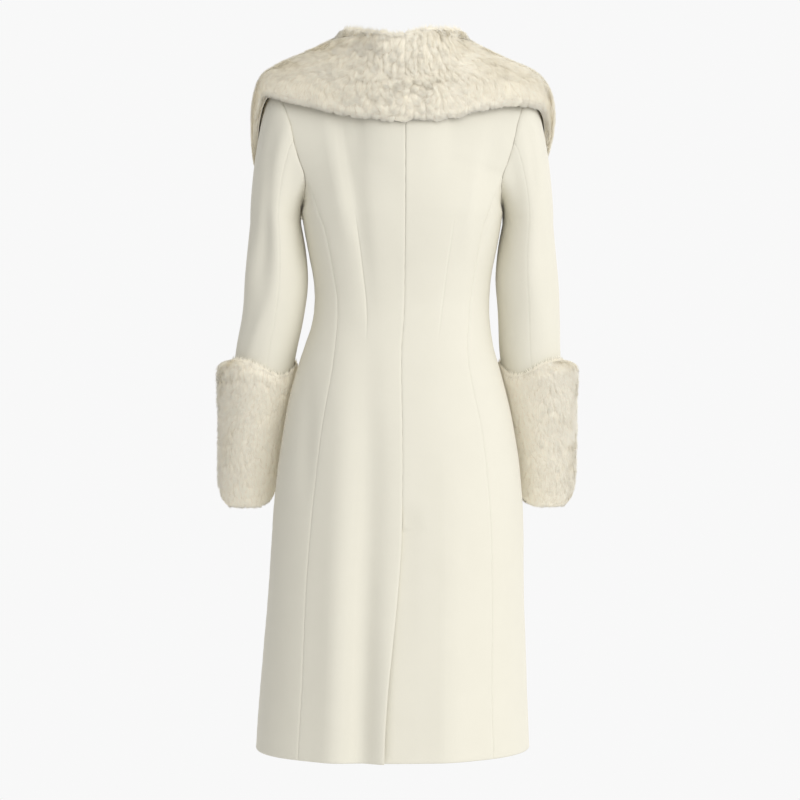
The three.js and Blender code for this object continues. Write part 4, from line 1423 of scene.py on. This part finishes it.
class NodeSet:
    """The nodes of one material."""

    def __init__(self, name: str) -> None:
        """Starts a material with its output."""
        self.material = bpy.data.materials.new(name)
        self.material.use_nodes = True
        self.tree = self.material.node_tree
        self.tree.nodes.clear()
        self.output = self.tree.nodes.new("ShaderNodeOutputMaterial")

    def add(self, kind: str, settings: dict, inputs: dict, output: int | str = 0) -> Wire:
        """Adds a node.

        Args:
            kind: the node's type.
            settings: its settings, and under "stops" a ramp's places and colours.
            inputs: the value or link of each socket, by number or name.
            output: which of its outputs to hand on.

        Returns:
            The output.
        """
        node = self.tree.nodes.new(kind)
        for key, value in settings.items():
            if key == "stops":
                self._ramp(node, value)
            else:
                setattr(node, key, value)
        for key, value in inputs.items():
            if isinstance(value, Wire):
                self.tree.links.new(value.socket, node.inputs[key])
            else:
                node.inputs[key].default_value = value
        return Wire(self, node.outputs[output])

    @staticmethod
    def _ramp(node: bpy.types.Node, stops: list[tuple[float, tuple[float, ...]]]) -> None:
        """Sets a ramp's places and colours."""
        elements = node.color_ramp.elements
        while len(elements) < len(stops):
            elements.new(0.5)
        for element, (place, colour) in zip(elements, stops):
            element.position = place
            element.color = (*colour, 1) if len(colour) == 3 else colour

    def place(self) -> Wire:
        """The place on the object, in metres."""
        return self.add("ShaderNodeTexCoord", {}, {}, "Object")

    def stretched(self, scale: tuple[float, float, float]) -> Wire:
        """The place on the object, stretched along its axes."""
        return self.add("ShaderNodeMapping", {}, {"Vector": self.place(), "Scale": scale})

    def noise(self, vector: Wire, scale: float, detail: float = 3, roughness: float = 0.55) -> Wire:
        """Cloudy noise from 0 to 1."""
        sockets = {"Vector": vector, "Scale": scale, "Detail": detail, "Roughness": roughness}
        return self.add("ShaderNodeTexNoise", {}, sockets, "Fac")

    def blend(self, factor: Wire | float, first: tuple | Wire, second: tuple | Wire) -> Wire:
        """A colour between two others."""
        sockets = {"Factor": factor, 6: first, 7: second}
        return self.add("ShaderNodeMix", {"data_type": "RGBA"}, sockets, 2)

    def bump(self, height: Wire, strength: float, distance: float) -> Wire:
        """A normal from a height."""
        sockets = {"Strength": strength, "Distance": distance, "Height": height}
        return self.add("ShaderNodeBump", {}, sockets)

    def finish(self, sockets: dict, through: float = 0, glow: Wire | None = None) -> bpy.types.Material:
        """Ends the material with its main shader.

        Args:
            sockets: the value or link of each of the shader's sockets.
            through: the share of the light that shines through.
            glow: the colour of the light that shines through.

        Returns:
            The material.
        """
        shader = self.add("ShaderNodeBsdfPrincipled", {}, sockets)
        if glow:
            lit = self.add("ShaderNodeBsdfTranslucent", {}, {"Color": glow})
            shader = self.add("ShaderNodeMixShader", {}, {0: through, 1: shader, 2: lit})
        self.tree.links.new(shader.socket, self.output.inputs["Surface"])
        return self.material


@dataclass(frozen=True)
class Finish:
    """A finish that pieces can wear, made once."""

    name: str
    slot: str

    def material(self) -> bpy.types.Material:
        """The material, made on its first use."""
        return bpy.data.materials.get(self.name) or self.make()

    def make(self) -> bpy.types.Material:
        """Makes the material."""
        raise NotImplementedError


@dataclass(frozen=True)
class WoolFinish(Finish):
    """Soft felted coat wool: matt, with a fine nap that lies downward."""

    light: tuple[float, float, float] = (0.75, 0.722, 0.62)
    dark: tuple[float, float, float] = (0.70, 0.672, 0.572)
    nap_height: float = 0.00022

    def make(self) -> bpy.types.Material:
        """Makes the wool."""
        nodes = NodeSet(self.name)
        clouds = nodes.noise(nodes.place(), 26, 2)
        fibres = nodes.noise(nodes.stretched((1, 1, 0.28)), 1500, 3, 0.7)
        weave = nodes.noise(nodes.stretched((1, 1, 0.6)), 420, 2, 0.6)
        tint = clouds * 0.45 + fibres * 0.35 + weave * 0.2
        colour = nodes.blend(tint, (*self.dark, 1), (*self.light, 1))
        height = fibres * 0.6 + weave * 0.4
        rough = 0.86 + fibres * 0.12
        return nodes.finish({
            "Base Color": colour,
            "Roughness": rough,
            "Normal": nodes.bump(height, 0.55, self.nap_height),
            "Sheen Weight": 0.25,
            "Sheen Roughness": 0.5,
            "Sheen Tint": (1.0, 0.97, 0.9, 1),
            "Specular IOR Level": 0.25,
        })


@dataclass(frozen=True)
class FurFinish(Finish):
    """Cream fur: its hairs are paler at their tips than deep in the pile, and it glows faintly with a painted
    light that brightens the pile as if it were lit within.
    """

    root: tuple[float, float, float] = (0.83, 0.78, 0.66)
    middle: tuple[float, float, float] = (0.93, 0.892, 0.79)
    tip: tuple[float, float, float] = (0.965, 0.94, 0.85)
    through: float = 0.3
    painted_glow: float = 0.12

    def make(self) -> bpy.types.Material:
        """Makes the fur."""
        nodes = NodeSet(self.name)
        tone = nodes.add("ShaderNodeAttribute", {"attribute_name": "tone"}, {}, "Fac")
        stops = [(0.0, self.root), (0.55, self.middle), (1.0, self.tip)]
        colour = nodes.add("ShaderNodeValToRGB", {"stops": stops}, {0: tone}, "Color")
        clouds = nodes.noise(nodes.place(), 30, 3)
        tinted = nodes.blend(clouds * 0.2, colour, (0.88, 0.82, 0.69, 1))
        return nodes.finish({
            "Base Color": tinted,
            # Painted glow: the hairs, and faintly the underlayer, give off light in their own colour to
            # brighten the pile as if lit from within; the skin does not glow
            "Emission Color": nodes.blend(tone * 10, (0, 0, 0, 1), tinted),
            "Emission Strength": self.painted_glow,
            "Roughness": 0.9,
            "Sheen Weight": 0.5,
            "Sheen Roughness": 0.6,
            "Specular IOR Level": 0.1,
        }, through=self.through, glow=tinted)


@dataclass(frozen=True)
class FloorFinish(Finish):
    """Pale plain floor paint."""

    colour: tuple[float, float, float] = (0.86, 0.86, 0.86)

    def make(self) -> bpy.types.Material:
        """Makes the floor's paint."""
        return NodeSet(self.name).finish({"Base Color": (*self.colour, 1), "Roughness": 0.95})


@dataclass
class SkyLamp:
    """A far lamp with a soft edge, by the place that it shines from and how wide it looks."""

    name: str
    place: tuple[float, float, float]
    width: float
    power: float

    def build(self) -> None:
        """Adds the lamp."""
        lamp = bpy.data.lights.new(self.name, "SUN")
        lamp.angle = math.radians(self.width)
        lamp.energy = self.power
        holder = put(self.name, lamp)
        holder.location = self.place
        holder.rotation_euler = (-Vector(self.place)).to_track_quat("-Z", "Y").to_euler()


@dataclass
class Studio:
    """Floor, lamps, sky and camera. Lengths are in metres."""

    floor_z: float = -1.5
    floor_radius: float = 1.8
    floor_sides: int = 128
    camera_distance: float = 3.1
    camera_turn: float = 2.5
    camera_z: float = -0.522
    view_width: float = 1.1838
    sensor: float = 36.0
    shift: float = -0.0025
    world: float = 0.94
    dim_side: float = 0.4
    dim_reach: tuple[float, float] = (0.35, 0.85)

    def build(self) -> None:
        """Makes the whole studio."""
        self.floor()
        self.camera()
        SkyLamp("key", place=(-2.6, 3.2, 1.2), width=50, power=1.12).build()
        SkyLamp("front", place=(-0.5, -3.0, 1.4), width=60, power=0.6).build()
        self.sky()
        bpy.context.scene.view_settings.view_transform = "Standard"

    def sky(self) -> None:
        """Makes a plain white sky that is dimmer on the wearer's left."""
        world = bpy.data.worlds.new("studio")
        world.use_nodes = True
        nodes, links = world.node_tree.nodes, world.node_tree.links
        way = nodes.new("ShaderNodeTexCoord")
        parts = nodes.new("ShaderNodeSeparateXYZ")
        dimmed = nodes.new("ShaderNodeMapRange")
        dimmed.interpolation_type = "SMOOTHSTEP"
        for place, value in enumerate((*self.dim_reach, self.world, self.dim_side), 1):
            dimmed.inputs[place].default_value = value
        links.new(way.outputs["Generated"], parts.inputs[0])
        links.new(parts.outputs["X"], dimmed.inputs[0])
        links.new(dimmed.outputs[0], nodes["Background"].inputs["Strength"])
        nodes["Background"].inputs["Color"].default_value = (1, 1, 1, 1)
        bpy.context.scene.world = world

    def floor(self) -> None:
        """Makes a plain round floor at foot level, whose far edge lies just under the picture."""
        turn = np.linspace(0, 2 * np.pi, self.floor_sides, endpoint=False)
        rim = np.stack((np.cos(turn), np.sin(turn), np.zeros(self.floor_sides)), axis=1) * self.floor_radius
        rim[:, 2] = self.floor_z
        mesh = metres_mesh("studio_floor", rim / MM, np.arange(self.floor_sides)[None])
        disc = put("studio_floor", mesh)
        disc.data.materials.append(FloorFinish("floor_paint", "").material())

    def camera(self) -> None:
        """Adds the camera."""
        turn = math.radians(self.camera_turn)
        place = Vector((math.sin(turn), math.cos(turn), 0)) * self.camera_distance
        place.z = self.camera_z
        lens = bpy.data.cameras.new("view")
        lens.sensor_width = self.sensor
        lens.lens = self.sensor * self.camera_distance / self.view_width
        lens.shift_x = self.shift
        holder = put("view", lens)
        holder.location = place
        way = Vector((0, 0, self.camera_z)) - place
        holder.rotation_euler = way.to_track_quat("-Z", "Y").to_euler()
        bpy.context.scene.camera = holder


@dataclass
class Coat:
    """The whole coat."""

    wool: WoolFinish = field(default_factory=lambda: WoolFinish("ivory_wool", "wool"))
    cover: WoolFinish = field(default_factory=lambda: WoolFinish("button_wool", "covered_button"))
    fur: FurFinish = field(default_factory=lambda: FurFinish("cream_fur", "fur"))

    def build(self) -> None:
        """Makes every piece of the coat."""
        faces = []
        for side in Side:
            panels = [kind(side).shell() for kind in (BackPanel, SideBackPanel, SideFrontPanel, FrontPanel)]
            for shell in (*panels, *Sleeve(side).shells()):
                shell.build(self.wool)
                faces.append(shell.face)
        support = Support()
        support.lay_over(faces)
        for side in Side:
            Collar(side, support).fur().build(self.fur)
            Cuff(side).fur().build(self.fur)
        Buttons().build(self.cover)


def main() -> None:
    """Builds the studio and the coat, and notes the sizes of model and looks."""
    logging.basicConfig(level=logging.INFO, format="%(message)s")
    Studio().build()
    Coat().build()


if __name__ == "__main__":
    main()
